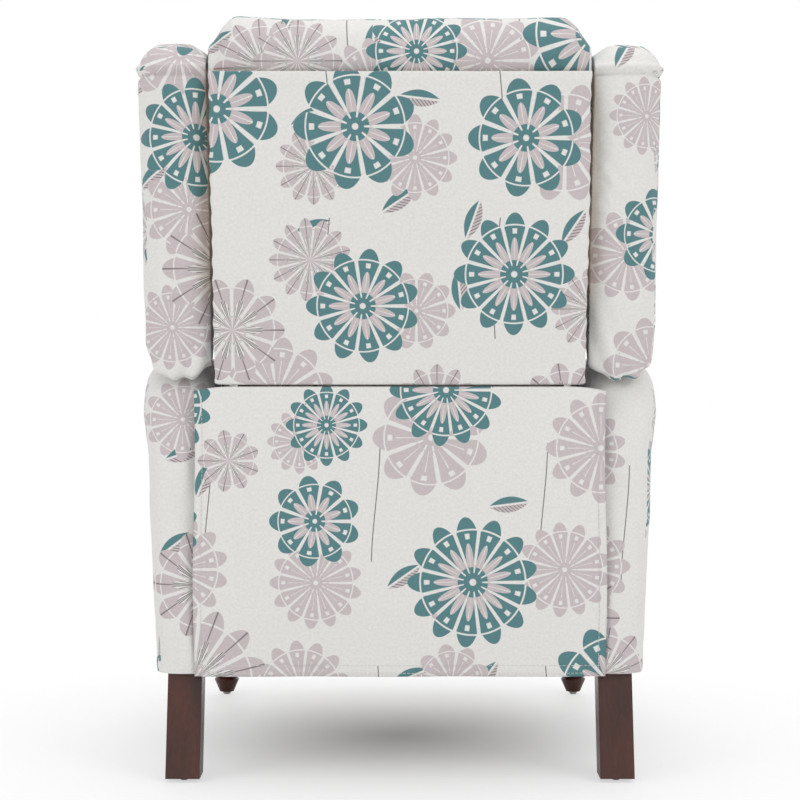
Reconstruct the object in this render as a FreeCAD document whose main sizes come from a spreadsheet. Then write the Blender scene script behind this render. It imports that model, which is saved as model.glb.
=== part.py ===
# Push-back wingback recliner on four wooden legs.
# +Z is up, the chair faces -Y, its left arm is at +X. Lengths are in millimetres, angles in degrees.
# The origin is on the floor under the middle of the chair's box.
import FreeCAD, Part
import math
import os
import re
import Sketcher
from FreeCAD import Placement, Rotation, Vector

DOC = FreeCAD.newDocument("Recliner")
SHEET = DOC.addObject("Spreadsheet::Sheet", "Sizes")
PARTS = []
SIDES = (("left", 1), ("right", -1))

SIZES = {
    "overall_width": 690,
    "overall_depth": 865,
    "overall_height": 1016,
    "leg_height": 144,
    "back_rake": 13,
    # arms
    "arm_thickness": 94,
    "arm_height": 575,
    "arm_setback": 7,
    "arm_rear_gap": 7,
    "arm_rear_round": 100,
    "arm_front_round": 42,
    "arm_top_round": 28,
    # wooden frame inside each arm
    "panel_thickness": 15,
    "post_width": 45,
    "post_depth": 60,
    "frame_margin": 12,
    "frame_gap": 0.3,
    "frame_height": 340,
    # base
    "cross_rail_width": 28,
    "cross_rail_height": 50,
    "cross_rail_rise": 8,
    "front_rail_set": 150,
    "rear_rail_set": 14,
    # legs
    "rear_leg_side": 46,
    "rear_leg_offset": 43,
    "rear_leg_inset": 12,
    "rear_leg_kick": 34,
    "front_leg_offset": 49,
    "front_leg_inset": 46,
    "front_leg_radius": 24,
    "neck_radius": 16,
    "toe_radius": 12,
    "glide_radius": 6.6,
    "glide_height": 5,
    # steel mechanism
    "plate_thickness": 4,
    "plate_gap": 2,
    "pivot_drop": 100,
    "rest_arm_length": 122,
    "swing_pivot_height": 372,
    "swing_pivot_set": 212,
    "rail_height": 30,
    "lobe_radius": 13,
    "pin_radius": 5,
    "pin_play": 0.4,
    "head_radius": 8,
    "head_height": 1.6,
    "screw_radius": 3,
    "screw_head_height": 1.5,
    # seat
    "seat_height": 470,
    "seat_crown": 14,
    "seat_cushion_thickness": 84,
    "seat_side_gap": 2.5,
    "seat_rear_gap": 55,
    "seat_rail_height": 38,
    "seat_rail_width": 30,
    "seat_deck_thickness": 1.7,
    "seat_front_set": 60,
    "seat_rear_set": 44,
    "spring_gap": 0.3,
    "cushion_corner": 26,
    "seat_spring_wire": 3.6,
    "seat_spring_pitch": 84,
    # footrest
    "link_length": 140,
    "link_width": 16,
    "fold_lean": 10,
    "stay_offset": 25.15,
    "stay_setback": 24,
    "stay_drop": 1,
    "foot_pivot_set": 114.5,
    "foot_pivot_height": 320,
    "foot_board_thickness": 15,
    "foot_pad_thickness": 28,
    "foot_pad_crown": 12,
    "foot_pad_height": 222,
    "foot_pad_side_gap": 3,
    "foot_pad_gap": 14,
    "pad_corner": 18,
    "board_inset": 6,
    "bracket_drop": 45,
    "bracket_rise": 22,
    # back
    "back_hem_height": 530,
    "back_seam_drop": 79,
    "back_panel_width": 507,
    "back_overlap": 5.5,
    "stile_inset": 8,
    "back_panel_thickness": 10,
    "back_rail_depth": 40,
    "back_rail_width": 33,
    "back_rail_height": 60,
    "panel_round": 4,
    "bracket_reach": 110,
    "frame_foot": 8,
    "back_cushion_thickness": 142,
    "back_cushion_inset": 19.5,
    "back_crown": 16,
    "cushion_tail": 60,
    "back_spring_wire": 3.2,
    "back_spring_pitch": 78,
    "roll_rear_radius": 48,
    "roll_front_radius": 38,
    "roll_depth": 190,
    "roll_slope": 5,
    "roll_corner": 30,
    "wing_depth": 205,
    "wing_top_drop": 33,
    "wing_clearance": 5,
    "wing_round": 24,
    "wing_foot": 60,
    # loose flap
    "flap_overhang": 24,
    "flap_length": 390,
    "flap_thickness": 2.4,
    "flap_wave": 5,
    "flap_seat": 0.3,
    "soft_gap": 0.3,
}

for row, (alias, number) in enumerate(SIZES.items(), start=1):
    SHEET.set(f"A{row}", alias.replace("_", " "))
    SHEET.set(f"B{row}", str(number))
    SHEET.setAlias(f"B{row}", alias)
DOC.recompute()


def bound(text):
    """The expression with its size names written as cells of the sheet."""
    return re.sub(r"\b([a-z]+(?:_[a-z]+)+)\b", r"Sizes.\1", str(text))


def value(text):
    """The number that an expression of sizes has now."""
    result = SHEET.evalExpression(bound(text))
    return float(getattr(result, "Value", result))


def tie(thing, prop, text):
    """Bind a property to an expression of sizes."""
    thing.setExpression(prop, bound(text))


# Places that several sub-parts share, as expressions of the sizes.
FRONT = "(-overall_depth / 2)"
ROLL_UP = "((overall_height - back_hem_height - (roll_rear_radius - 3) * sin(back_rake)" \
    " - roll_rear_radius) / cos(back_rake))"
HEM_Y = f"(overall_depth / 2 - roll_rear_radius - {ROLL_UP} * sin(back_rake)" \
    " + (roll_rear_radius - 3) * cos(back_rake))"
ARM_REAR = f"({HEM_Y} - arm_rear_gap)"
ARM_FRONT = f"({FRONT} + arm_setback)"
PIVOT_Y = f"({ARM_REAR} - arm_rear_round)"
PIVOT_Z = "(arm_height - arm_rear_round)"
ARM_INNER = "(back_panel_width / 2 - back_overlap)"
REAR_LEG_X = f"({ARM_INNER} + rear_leg_offset)"
FRONT_LEG_X = f"({ARM_INNER} + front_leg_offset)"
SEAM_UP = "(((overall_height - back_seam_drop) - back_hem_height) / cos(back_rake))"
REST_Z = f"({PIVOT_Z} - rest_arm_length)"
SWING_Y = f"({FRONT} + swing_pivot_set)"
SWING_END_Z = "(swing_pivot_height - rest_arm_length)"
FOOT_Y = f"({FRONT} + foot_pivot_set)"
SEAT_UNDER = "(seat_height - seat_cushion_thickness)"
RAIL_TOP = f"({SEAT_UNDER} - seat_deck_thickness - soft_gap)"
SCREW_SPOTS = (
    (f"({SWING_Y} + lobe_radius * 4)", f"({RAIL_TOP} - rail_height / 2)"),
    (f"({PIVOT_Y} - lobe_radius * 6)", f"({RAIL_TOP} - rail_height / 2)"))

# Planes of the steel plates beside each arm, counted inwards from the arm.
BASE_PLANE = f"({ARM_INNER} - plate_thickness)"
SWING_PLANE = f"({BASE_PLANE} - plate_gap - plate_thickness)"
SEAT_PLANE = f"({SWING_PLANE} - plate_gap - plate_thickness)"
DRIVE_PLANE = f"({SEAT_PLANE} - plate_gap - plate_thickness)"
FOLD_PLANE = f"({DRIVE_PLANE} - plate_gap - plate_thickness)"


def back_y(up, rear):
    """World Y of a point of the back, from its height up the rake and its depth behind the hem."""
    return f"({HEM_Y} + ({up}) * sin(back_rake) + ({rear}) * cos(back_rake))"


def back_z(up, rear):
    """World Z of a point of the back, as back_y."""
    return f"(back_hem_height + ({up}) * cos(back_rake) - ({rear}) * sin(back_rake))"


def keep(thing, name):
    """List an object as a sub-part under its node's name."""
    thing.Label = name
    PARTS.append(thing)
    return thing


def new_body(name):
    return keep(DOC.addObject("PartDesign::Body", name), name)


def plane(body, role):
    return next(item for item in body.Origin.OriginFeatures if item.Role == role)


def draw(body, role, points, offset="0"):
    """A closed sketch through points (across, up); a third entry makes the edge before it an arc.

    The arc's radius is positive where it turns left on the way to its point, and negative where
    it turns right. Each point and radius is an expression of sizes.
    """
    sketch = body.newObject("Sketcher::SketchObject", f"{body.Name}_outline")
    sketch.AttachmentSupport = [(plane(body, role), "")]
    sketch.MapMode = "FlatFace"
    tie(sketch, ".AttachmentOffset.Base.z", offset)
    spots = [Vector(value(point[0]), value(point[1]), 0) for point in points]
    for index, point in enumerate(points):
        start = spots[index - 1]
        end = spots[index]
        if len(point) == 2:
            sketch.addGeometry(Part.LineSegment(start, end), False)
        else:
            sketch.addGeometry(arc_between(start, end, value(point[2])), False)
    for index, point in enumerate(points):
        before = index - 1 if index else len(points) - 1
        turned = len(points[index]) > 2 and value(points[index][2]) < 0
        after = (index + 1) % len(points)
        next_turned = len(points[after]) > 2 and value(points[after][2]) < 0
        end_spot = 1 if turned else 2
        start_spot = 2 if next_turned else 1
        sketch.addConstraint(Sketcher.Constraint("Coincident", index, end_spot, after, start_spot))
        for kind, text, number in (("DistanceX", point[0], spots[index].x),
                                   ("DistanceY", point[1], spots[index].y)):
            place = sketch.addConstraint(Sketcher.Constraint(kind, -1, 1, index, end_spot, number))
            tie(sketch, f"Constraints[{place}]", text)
        if len(point) > 2:
            place = sketch.addConstraint(Sketcher.Constraint("Radius", index, abs(value(point[2]))))
            tie(sketch, f"Constraints[{place}]", f"abs({point[2]})")
    return sketch


def arc_between(start, end, radius):
    """The minor arc from start to end, turning left for a positive radius."""
    chord = end - start
    half = chord.Length / 2
    across = Vector(-chord.y, chord.x, 0).normalize()
    rise = math.sqrt(max(radius * radius - half * half, 0))
    centre = (start + end) * 0.5 + across * math.copysign(rise, radius)
    first, last = (start, end) if radius > 0 else (end, start)
    circle = Part.Circle(centre, Vector(0, 0, 1), abs(radius))
    return Part.ArcOfCircle(circle, circle.parameter(first), circle.parameter(last))


def pad(body, sketch, length):
    """Pad a sketch along its plane's normal."""
    feature = body.newObject("PartDesign::Pad", f"{body.Name}_pad")
    feature.Profile = sketch
    tie(feature, "Length", length)
    DOC.recompute()
    return feature


def drill(body, spots, radius, role="YZ_Plane"):
    """Cut round holes through the body along the plane's normal."""
    sketch = body.newObject("Sketcher::SketchObject", f"{body.Name}_holes")
    sketch.AttachmentSupport = [(plane(body, role), "")]
    sketch.MapMode = "FlatFace"
    for index, (across, up) in enumerate(spots):
        centre = Vector(value(across), value(up), 0)
        sketch.addGeometry(Part.Circle(centre, Vector(0, 0, 1), value(radius)), False)
        constraints = (("DistanceX", across, centre.x), ("DistanceY", up, centre.y))
        for kind, text, number in constraints:
            place = sketch.addConstraint(Sketcher.Constraint(kind, -1, 1, index, 3, number))
            tie(sketch, f"Constraints[{place}]", text)
        place = sketch.addConstraint(Sketcher.Constraint("Radius", index, value(radius)))
        tie(sketch, f"Constraints[{place}]", radius)
    pocket = body.newObject("PartDesign::Pocket", f"{body.Name}_bores")
    pocket.Profile = sketch
    pocket.Type = "ThroughAll"
    pocket.Midplane = True
    DOC.recompute()
    return pocket


def soften(body, radius, wanted):
    """Fillet the body's edges that the wanted test picks by their middle and direction."""
    tip = body.Tip
    names = []
    for number, edge in enumerate(tip.Shape.Edges, start=1):
        box = edge.BoundBox
        if wanted(box):
            names.append(f"Edge{number}")
    feature = body.newObject("PartDesign::Fillet", f"{body.Name}_fillet")
    feature.Base = (tip, names)
    tie(feature, "Radius", radius)
    DOC.recompute()
    return feature


def side_start(side, inner, thickness):
    """Where a pad along +X starts so that it fills inner to inner + thickness on that side."""
    return f"({inner})" if side > 0 else f"(-({inner}) - ({thickness}))"


def side_plate(name, side, inner, thickness, points):
    """A solid with a side profile (y, z), from inner to inner + thickness on one side."""
    body = new_body(name)
    sketch = draw(body, "YZ_Plane", points, side_start(side, inner, thickness))
    pad(body, sketch, thickness)
    return body


def box(name, low, high):
    """A box between two corners, given as expressions."""
    body = DOC.addObject("Part::Box", name)
    for prop, axis in (("Length", 0), ("Width", 1), ("Height", 2)):
        tie(body, prop, f"({high[axis]}) - ({low[axis]})")
    for prop, axis in (("x", 0), ("y", 1), ("z", 2)):
        tie(body, f".Placement.Base.{prop}", low[axis])
    return body


def feature(name, shape):
    """A sub-part whose shape is made by Part's own functions."""
    thing = DOC.addObject("Part::Feature", name)
    thing.Shape = shape
    thing.Placement = Placement(Vector(0, 0, 0), Rotation())
    return keep(thing, name)


def across_x(edge_box):
    """Whether an edge runs along X."""
    return edge_box.XLength > 1 and edge_box.YLength < 0.01 and edge_box.ZLength < 0.01


def arm_frame(side_name, side):
    """The glued plywood panel, posts and top rail inside an arm."""
    name = f"arm_frame_{side_name}"
    inner = f"({ARM_INNER} + frame_margin)"
    front = f"({ARM_FRONT} + frame_margin)"
    rear = f"({ARM_REAR} - frame_margin)"
    high = "(leg_height + frame_height)"
    panel = side_plate(f"{name}", side, inner, "post_depth", (
        (front, "leg_height"),
        (rear, "leg_height"),
        (rear, f"({high} - post_width)"),
        (f"({rear} - post_width)", high),
        (front, high)))
    window = draw(panel, "YZ_Plane", (
        (f"({front} + post_width)", "(leg_height + post_width)"),
        (f"({rear} - post_width)", "(leg_height + post_width)"),
        (f"({rear} - post_width)", f"({high} - post_width)"),
        (f"({front} + post_width)", f"({high} - post_width)")),
        f"(({inner}) + panel_thickness)" if side > 0 else f"(-({inner}) - panel_thickness)")
    pocket = panel.newObject("PartDesign::Pocket", f"{name}_window")
    pocket.Profile = window
    pocket.Reversed = side > 0
    tie(pocket, "Length", "post_depth")
    DOC.recompute()


def arm_cover(side_name, side):
    """The padded, cloth-covered arm, hollow for its frame and open underneath."""
    body = side_plate(f"arm_cover_{side_name}", side, ARM_INNER, "arm_thickness", (
        (ARM_FRONT, "leg_height"),
        (ARM_REAR, "leg_height"),
        (ARM_REAR, PIVOT_Z),
        (PIVOT_Y, "arm_height", "arm_rear_round"),
        (f"({ARM_FRONT} + arm_front_round)", "arm_height"),
        (ARM_FRONT, "(arm_height - arm_front_round)", "arm_front_round")))
    inner = value(ARM_INNER)
    outer = inner + value("arm_thickness")
    floor = value("leg_height") + 1
    faces = (inner, outer)

    def rim(edge):
        flat = edge.XLength < 0.01 and min(abs(abs(edge.XMin) - face) for face in faces) < 0.01
        return flat and edge.ZMax > floor

    soften(body, "arm_top_round", rim)
    margin = "(frame_margin - frame_gap)"
    cavity = draw(body, "XY_Plane", arm_cavity(side, margin), "leg_height")
    pocket = body.newObject("PartDesign::Pocket", f"{body.Name}_cavity")
    pocket.Profile = cavity
    pocket.Reversed = True
    tie(pocket, "Length", "frame_height + frame_gap")
    DOC.recompute()
    holes = drill(body, SCREW_SPOTS, "(screw_radius + pin_play / 2)")
    holes.Type = "Length"
    tie(holes, "Length", f"2 * ({ARM_INNER} + frame_margin)")
    DOC.recompute()


def arm_cavity(side, margin):
    """Plan outline of the space for an arm's frame."""
    near = f"({ARM_INNER} + {margin})"
    far = f"({ARM_INNER} + frame_margin + post_depth + frame_gap)"
    low, high = (near, far) if side > 0 else (f"(-{far})", f"(-{near})")
    front = f"({ARM_FRONT} + {margin})"
    rear = f"({ARM_REAR} - {margin})"
    return ((low, front), (high, front), (high, rear), (low, rear))


def cross_rails():
    """The wooden rails that join the two arms, low at the front and at the rear."""
    low = "(leg_height + cross_rail_rise)"
    high = f"({low} + cross_rail_height)"
    front = f"({FRONT} + front_rail_set)"
    rear = f"({ARM_REAR} - rear_rail_set)"
    keep(box("front_cross_rail", (f"(-{ARM_INNER})", front, low),
             (ARM_INNER, f"({front} + cross_rail_width)", high)), "front_cross_rail")
    keep(box("rear_cross_rail", (f"(-{ARM_INNER})", f"({rear} - cross_rail_width)", low),
             (ARM_INNER, rear, high)), "rear_cross_rail")


def rear_leg(side_name, side):
    """A square rear leg, raked back towards its foot."""
    half = "(rear_leg_side / 2)"
    top_y = f"({ARM_REAR} - rear_leg_inset - {half})"
    foot_y = f"({top_y} + rear_leg_kick)"
    body = side_plate(f"rear_leg_{side_name}", side, f"({REAR_LEG_X} - {half})",
                      "rear_leg_side", (
        (f"({foot_y} - {half})", "glide_height"),
        (f"({foot_y} + {half})", "glide_height"),
        (f"({top_y} + {half})", "leg_height"),
        (f"({top_y} - {half})", "leg_height")))


def front_legs():
    """The two turned front legs: cap, urn, ring, neck and toe."""
    tall = value("leg_height - glide_height")
    wide = value("front_leg_radius")
    slim = value("neck_radius")
    profile = (
        (0, 0), (value("toe_radius"), 0), (wide - 3, tall * 0.15), (slim, tall * 0.19),
        (slim, tall * 0.235), (wide, tall * 0.235), (wide, tall * 0.265), (slim - 1, tall * 0.3),
        (wide - 3, tall * 0.7), (slim + 1, tall * 0.84), (wide, tall * 0.84), (wide, tall), (0, tall))
    legs = []
    for side in (-1, 1):
        foot = Vector(side * value(FRONT_LEG_X), value(f"{ARM_FRONT} + front_leg_inset"),
                      value("glide_height"))
        corners = [foot + Vector(radius, 0, rise) for radius, rise in profile]
        face = Part.Face(Part.makePolygon([*corners, corners[0]]))
        legs.append(face.revolve(foot, Vector(0, 0, 1), 360))
    feature("front_legs", Part.makeCompound(legs))


def glides():
    """Nail glides under the legs, two to a node."""
    radius = value("glide_radius")
    tall = value("glide_height")
    rear_y = value(f"{ARM_REAR} - rear_leg_inset - rear_leg_side / 2 + rear_leg_kick")
    front_y = value(f"{ARM_FRONT} + front_leg_inset")
    for name, spread, y in (("rear_glides", value(REAR_LEG_X), rear_y),
                            ("front_glides", value(FRONT_LEG_X), front_y)):
        discs = []
        for side in (-1, 1):
            spot = Vector(side * spread, y, 0)
            dome = Part.makeCone(radius * 0.7, radius, tall * 0.4, spot)
            stem = Part.makeCylinder(radius, tall * 0.6, spot + Vector(0, 0, tall * 0.4))
            discs.append(dome.fuse(stem).removeSplitter())
        feature(name, Part.makeCompound(discs))





def bar(name, side, inner, start, end, extra=()):
    """A steel link with clipped ends between two pivots, on the plane from inner outwards.

    Extra pivots widen the link to a plate with a lobe at each of them.
    """
    half = value("link_width") / 2
    thick = value("plate_thickness")
    low = value(inner) if side > 0 else -value(inner) - thick
    hole = value("pin_radius") + value("pin_play") / 2
    spots = [Vector(low, value(y), value(z)) for y, z in (start, end, *extra)]
    blank = strap(spots[0], spots[1], half, thick)
    for spot in spots[2:]:
        blank = blank.fuse(strap(spots[1], spot, half, thick))
    for spot in spots:
        blank = blank.cut(Part.makeCylinder(hole, thick, spot, Vector(1, 0, 0)))
    return feature(name, blank.removeSplitter())


def strap(start, end, half, thick):
    """A flat strip with clipped ends about two points, its thickness along X."""
    along = (end - start).normalize()
    across = Vector(0, -along.z, along.y) * half
    corners = (start + across, end + across, end - across, start - across)
    cut = along * half
    nip = across * 0.4
    outline = (corners[0], corners[1], end + nip + cut, end - nip + cut,
               corners[2], corners[3], start - nip - cut, start + nip - cut)
    return Part.Face(Part.makePolygon([*outline, outline[0]])).extrude(Vector(thick, 0, 0))


def button(start, axis, radius, rise):
    """An eight-sided head that stands on a plane square to X."""
    corners = [start + Vector(0, radius * math.cos(turn), radius * math.sin(turn))
               for turn in (math.pi / 8 + step * math.pi / 4 for step in range(8))]
    return Part.Face(Part.makePolygon([*corners, corners[0]])).extrude(axis * rise)


def rivets(name, spots):
    """Pins with a head at each end; each spot is (y, z, inner plane, outer plane)."""
    radius = value("pin_radius")
    head = value("head_radius")
    rise = value("head_height")
    pins = []
    for side in (1, -1):
        for y, z, inner, outer in spots:
            near = value(inner)
            far = value(outer)
            axis = Vector(side, 0, 0)
            start = Vector(side * near, value(y), value(z))
            pin = Part.makeCylinder(radius, far - near, start, axis)
            cap = button(start - axis * rise, axis, head, rise)
            pins.append(pin.fuse(cap).removeSplitter())
    return feature(name, Part.makeCompound(pins))


def base_rails():
    """The steel rails on the arms' inner faces: a flat bar with ears up to each pivot."""
    lobe = "lobe_radius"
    low = f"({RAIL_TOP} - rail_height)"
    for side_name, side in SIDES:
        body = side_plate(f"base_rail_{side_name}", side, BASE_PLANE, "plate_thickness", (
            (f"({SWING_Y} - {lobe} * 2)", low),
            (f"({PIVOT_Y} + {lobe} * 1.6)", low),
            (f"({PIVOT_Y} + {lobe} * 1.6)", f"({PIVOT_Z} + {lobe})"),
            (f"({PIVOT_Y} - {lobe} * 1.6)", f"({PIVOT_Z} + {lobe})"),
            (f"({PIVOT_Y} - {lobe} * 1.6)", RAIL_TOP),
            (f"({SWING_Y} - {lobe} * 2)", RAIL_TOP)))
        soften(body, "lobe_radius * 0.8", across_x)
        hole = "(pin_radius + pin_play / 2)"
        drill(body, ((PIVOT_Y, PIVOT_Z), (SWING_Y, "swing_pivot_height")), hole)
        drill(body, SCREW_SPOTS, "(screw_radius + pin_play / 2)")


def rail_screws():
    """The screws that hold the base rails to the arms' frames."""
    screws = []
    for side in (1, -1):
        for y, z in SCREW_SPOTS:
            start = Vector(side * value(BASE_PLANE), value(y), value(z))
            axis = Vector(side, 0, 0)
            long = value("plate_thickness") + value("frame_margin") - value("frame_gap")
            shank = Part.makeCylinder(value("screw_radius"), long, start, axis)
            rise = value("screw_head_height")
            head = button(start - axis * rise, axis, value("head_radius"), rise)
            screws.append(shank.fuse(head).removeSplitter())
    feature("rail_screws", Part.makeCompound(screws))


def swing_links():
    """The links that hang the seat's front from the base rails, and the tube that joins them."""
    for side_name, side in SIDES:
        bar(f"swing_link_{side_name}", side, SWING_PLANE,
            (SWING_Y, "swing_pivot_height"), (SWING_Y, SWING_END_Z))


def seat_plates():
    """The steel plates that carry the seat between the swing links and the back's brackets."""
    lobe = "lobe_radius"
    low = f"({RAIL_TOP} - seat_rail_height)"
    front = f"({FRONT} + seat_front_set)"
    for side_name, side in SIDES:
        body = side_plate(f"seat_plate_{side_name}", side, SEAT_PLANE, "plate_thickness", (
            (front, low),
            (f"({FOOT_Y} - {lobe})", low),
            (f"({FOOT_Y} - {lobe})", f"(foot_pivot_height - {lobe})"),
            (f"({FOOT_Y} + {lobe})", f"(foot_pivot_height - {lobe})"),
            (f"({SWING_Y} - {lobe})", f"({SWING_END_Z} - {lobe})"),
            (f"({SWING_Y} + {lobe})", f"({SWING_END_Z} - {lobe})"),
            (f"({SWING_Y} + {lobe} * 6)", low),
            (f"({PIVOT_Y} - {lobe} * 4)", low),
            (f"({PIVOT_Y} - {lobe})", f"({REST_Z} - {lobe})"),
            (f"({PIVOT_Y} + {lobe})", f"({REST_Z} - {lobe})"),
            (f"({PIVOT_Y} + {lobe})", RAIL_TOP),
            (front, RAIL_TOP)))
        hole = "(pin_radius + pin_play / 2)"
        drill(body, ((FOOT_Y, "foot_pivot_height"), (SWING_Y, SWING_END_Z), (PIVOT_Y, REST_Z)), hole)


def seat_rails():
    """The wooden rails across the seat, between its steel plates."""
    low = f"({RAIL_TOP} - seat_rail_height)"
    front = f"({FRONT} + seat_front_set)"
    rear = f"({PIVOT_Y} - seat_rear_set)"
    wide = SEAT_PLANE
    keep(box("seat_front_rail", (f"(-{wide})", front, low),
             (wide, f"({front} + seat_rail_width)", RAIL_TOP)), "seat_front_rail")
    keep(box("seat_rear_rail", (f"(-{wide})", f"({rear} - seat_rail_width)", low),
             (wide, rear, RAIL_TOP)), "seat_rear_rail")


def zigzag(start, end, count, swing, wire, flat):
    """A sinuous spring in one plane: a band along straight runs and turns of four short sides."""
    along = (end - start) / (count + 1)
    turn = along.Length / 2
    across = Vector(1, 0, 0)
    side = across * (swing / 2 - turn)
    route = [start]
    for index in range(1, count + 1):
        sign = 1 if index % 2 else -1
        middle = start + along * index + side * sign
        for angle in range(-90, 91, 45):
            share = math.radians(angle)
            route.append(middle + along * (0.5 * math.sin(share))
                         + across * (turn * sign * math.cos(share)))
    route.append(end)
    left = [beside(route, index, wire / 2, flat) for index in range(len(route))]
    right = [beside(route, index, -wire / 2, flat) for index in range(len(route))]
    outline = left + right[::-1]
    return Part.Face(Part.makePolygon([*outline, outline[0]])).extrude(flat * wire)


def beside(route, index, reach, flat):
    """The mitred point beside a route's point, at a reach from both of its runs."""
    spot = route[index]
    into = (spot - route[index - 1]).normalize() if index else None
    out = (route[index + 1] - spot).normalize() if index < len(route) - 1 else None
    into = into or out
    out = out or into
    first = flat.cross(into)
    both = (first + flat.cross(out)).normalize()
    return spot + both * (reach / both.dot(first))


def seat_springs():
    """Sinuous springs from the front seat rail to the rear one, under the cushion."""
    front = value(f"{FRONT} + seat_front_set + seat_rail_width + spring_gap")
    rear = value(f"{PIVOT_Y} - seat_rear_set - seat_rail_width - spring_gap")
    height = value(f"{RAIL_TOP} - seat_spring_wire - soft_gap")
    pitch = value("seat_spring_pitch")
    wire = value("seat_spring_wire")
    springs = []
    for index in (0.5, 1.5):
        start = Vector(index * pitch, front, height)
        end = Vector(index * pitch, rear, height)
        springs.append(zigzag(start, end, 7, pitch * 0.7, wire, Vector(0, 0, 1)))
    feature("seat_springs", Part.makeCompound(mirrored(springs)))


def mirrored(shapes):
    """The shapes and their mirror images across the chair's middle."""
    return [*shapes, *(shape.mirror(Vector(0, 0, 0), Vector(1, 0, 0)) for shape in shapes)]


def footrest_links():
    """The drive, fold and stay links that carry the footrest on each side."""
    lean = "sin(fold_lean) * link_length"
    elbow_z = "(foot_pivot_height - link_length)"
    crown_y = f"({FOOT_Y} - {lean})"
    crown_z = f"({elbow_z} + cos(fold_lean) * link_length)"
    stay_low = (f"({FOOT_Y} - stay_offset)", elbow_z)
    stay_high = (f"({crown_y} - stay_setback)", f"({crown_z} - stay_drop)")
    for side_name, side in SIDES:
        bar(f"drive_link_{side_name}", side, DRIVE_PLANE,
            (FOOT_Y, "foot_pivot_height"), (FOOT_Y, elbow_z), (stay_low,))
        bar(f"fold_link_{side_name}", side, FOLD_PLANE, (FOOT_Y, elbow_z), (crown_y, crown_z))
        bar(f"stay_link_{side_name}", side, SEAT_PLANE, stay_low, stay_high)
        foot_bracket(side_name, side, (crown_y, crown_z), stay_high)
    rivets("seat_rivets", (
        (FOOT_Y, "foot_pivot_height", DRIVE_PLANE, f"({SEAT_PLANE} + plate_thickness)"),
        (PIVOT_Y, REST_Z, SEAT_PLANE, f"({SWING_PLANE} + plate_thickness)")))
    rivets("swing_rivets", (
        (SWING_Y, SWING_END_Z, SEAT_PLANE, f"({SWING_PLANE} + plate_thickness)"),))
    rivets("drive_rivets", (
        (FOOT_Y, elbow_z, FOLD_PLANE, f"({DRIVE_PLANE} + plate_thickness)"),
        (*stay_low, DRIVE_PLANE, f"({SEAT_PLANE} + plate_thickness)")))
    rivets("footrest_rivets", (
        (crown_y, crown_z, FOLD_PLANE, f"({DRIVE_PLANE} + plate_thickness)"),
        (*stay_high, DRIVE_PLANE, f"({SEAT_PLANE} + plate_thickness)")))
    rivets("base_bolts", (
        (PIVOT_Y, PIVOT_Z, SWING_PLANE, ARM_INNER),
        (SWING_Y, "swing_pivot_height", SWING_PLANE, ARM_INNER)))


BOARD_BACK = f"({FRONT} + foot_pad_crown + foot_pad_thickness + foot_board_thickness)"
PAD_TOP = f"({SEAT_UNDER} - foot_pad_gap)"


def foot_bracket(side_name, side, pivot, stay_pivot):
    """The steel plate that joins the footrest's board to its links."""
    y, z = pivot
    lobe = "link_width * 0.6"
    body = side_plate(f"foot_bracket_{side_name}", side, DRIVE_PLANE, "plate_thickness", (
        (BOARD_BACK, f"({z} - bracket_drop)"),
        (f"({BOARD_BACK} + 4)", f"({z} - bracket_drop)"),
        (f"({y} + {lobe})", f"({z} - {lobe})"),
        (f"({y} + {lobe})", f"({z} + {lobe})"),
        (f"({BOARD_BACK} + 4)", f"({z} + bracket_rise)"),
        (BOARD_BACK, f"({z} + bracket_rise)")))
    drill(body, (pivot, stay_pivot), "(pin_radius + pin_play / 2)")


def footrest():
    """The footrest's plywood board and its crowned, padded front."""
    low = f"({PAD_TOP} - foot_pad_height)"
    half = f"({ARM_INNER} - foot_pad_side_gap)"
    keep(box("footrest_board",
             (f"(-{half} + board_inset)", f"({BOARD_BACK} - foot_board_thickness)", f"({low} + board_inset)"),
             (f"({half} - board_inset)", BOARD_BACK, f"({PAD_TOP} - board_inset)")), "footrest_board")
    front = value(f"{FRONT} + foot_pad_crown")
    back = front + value("foot_pad_thickness - soft_gap")
    bottom = value(low)
    top = value(PAD_TOP)
    sections = []
    for x, shrink in stations(value(half), value("pad_corner")):
        sections.append(pillow_section(x, front, back, bottom + shrink, top - shrink,
                                       value("pad_corner"), value("foot_pad_crown"), shrink))
    feature("footrest_pad", Part.makeLoft(sections, True, True))


def stations(half, corner, crowned=True):
    """Where a pad's cross sections stand and how far each is drawn in, from end to end."""
    places = []
    for share in (0, 0.4, 1):
        drawn = corner * (1 - math.sin(share * math.pi / 2))
        inset = corner * (1 - math.cos(share * math.pi / 2))
        places.append((half - corner * share * 0.999, drawn))
    near = [(-x, drawn) for x, drawn in places]
    middle = [(-half / 2, 0), (0, 0), (half / 2, 0)] if crowned else []
    return near + middle + places[::-1]


def pillow_section(x, front, back, low, high, corner, crown, shrink):
    """A closed section at x: flat back, soft corners and a crowned front."""
    soft = min(corner, (high - low) / 3)
    crown = max(crown - shrink * 0.6, 0.5)
    step = soft * (1 - math.sqrt(0.5))
    mid = (low + high) / 2
    front = front + shrink * 0.4
    spots = [
        (back, low + 2), (back, high - 2),
        (back - 2, high), (front + soft, high),
        (front, high - soft), (front, low + soft),
        (front + soft, low), (back - 2, low)]
    spots = [Vector(x, y, z) for y, z in spots]
    corner_high = Vector(x, front + step, high - step)
    corner_low = Vector(x, front + step, low + step)
    edges = [
        Part.LineSegment(spots[0], spots[1]),
        Part.LineSegment(spots[1], spots[2]),
        Part.LineSegment(spots[2], spots[3]),
        Part.Arc(spots[3], corner_high, spots[4]),
        Part.Arc(spots[4], Vector(x, front - crown, mid), spots[5]),
        Part.Arc(spots[5], corner_low, spots[6]),
        Part.LineSegment(spots[6], spots[7]),
        Part.LineSegment(spots[7], spots[0])]
    return Part.Wire([edge.toShape() for edge in edges])


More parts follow.
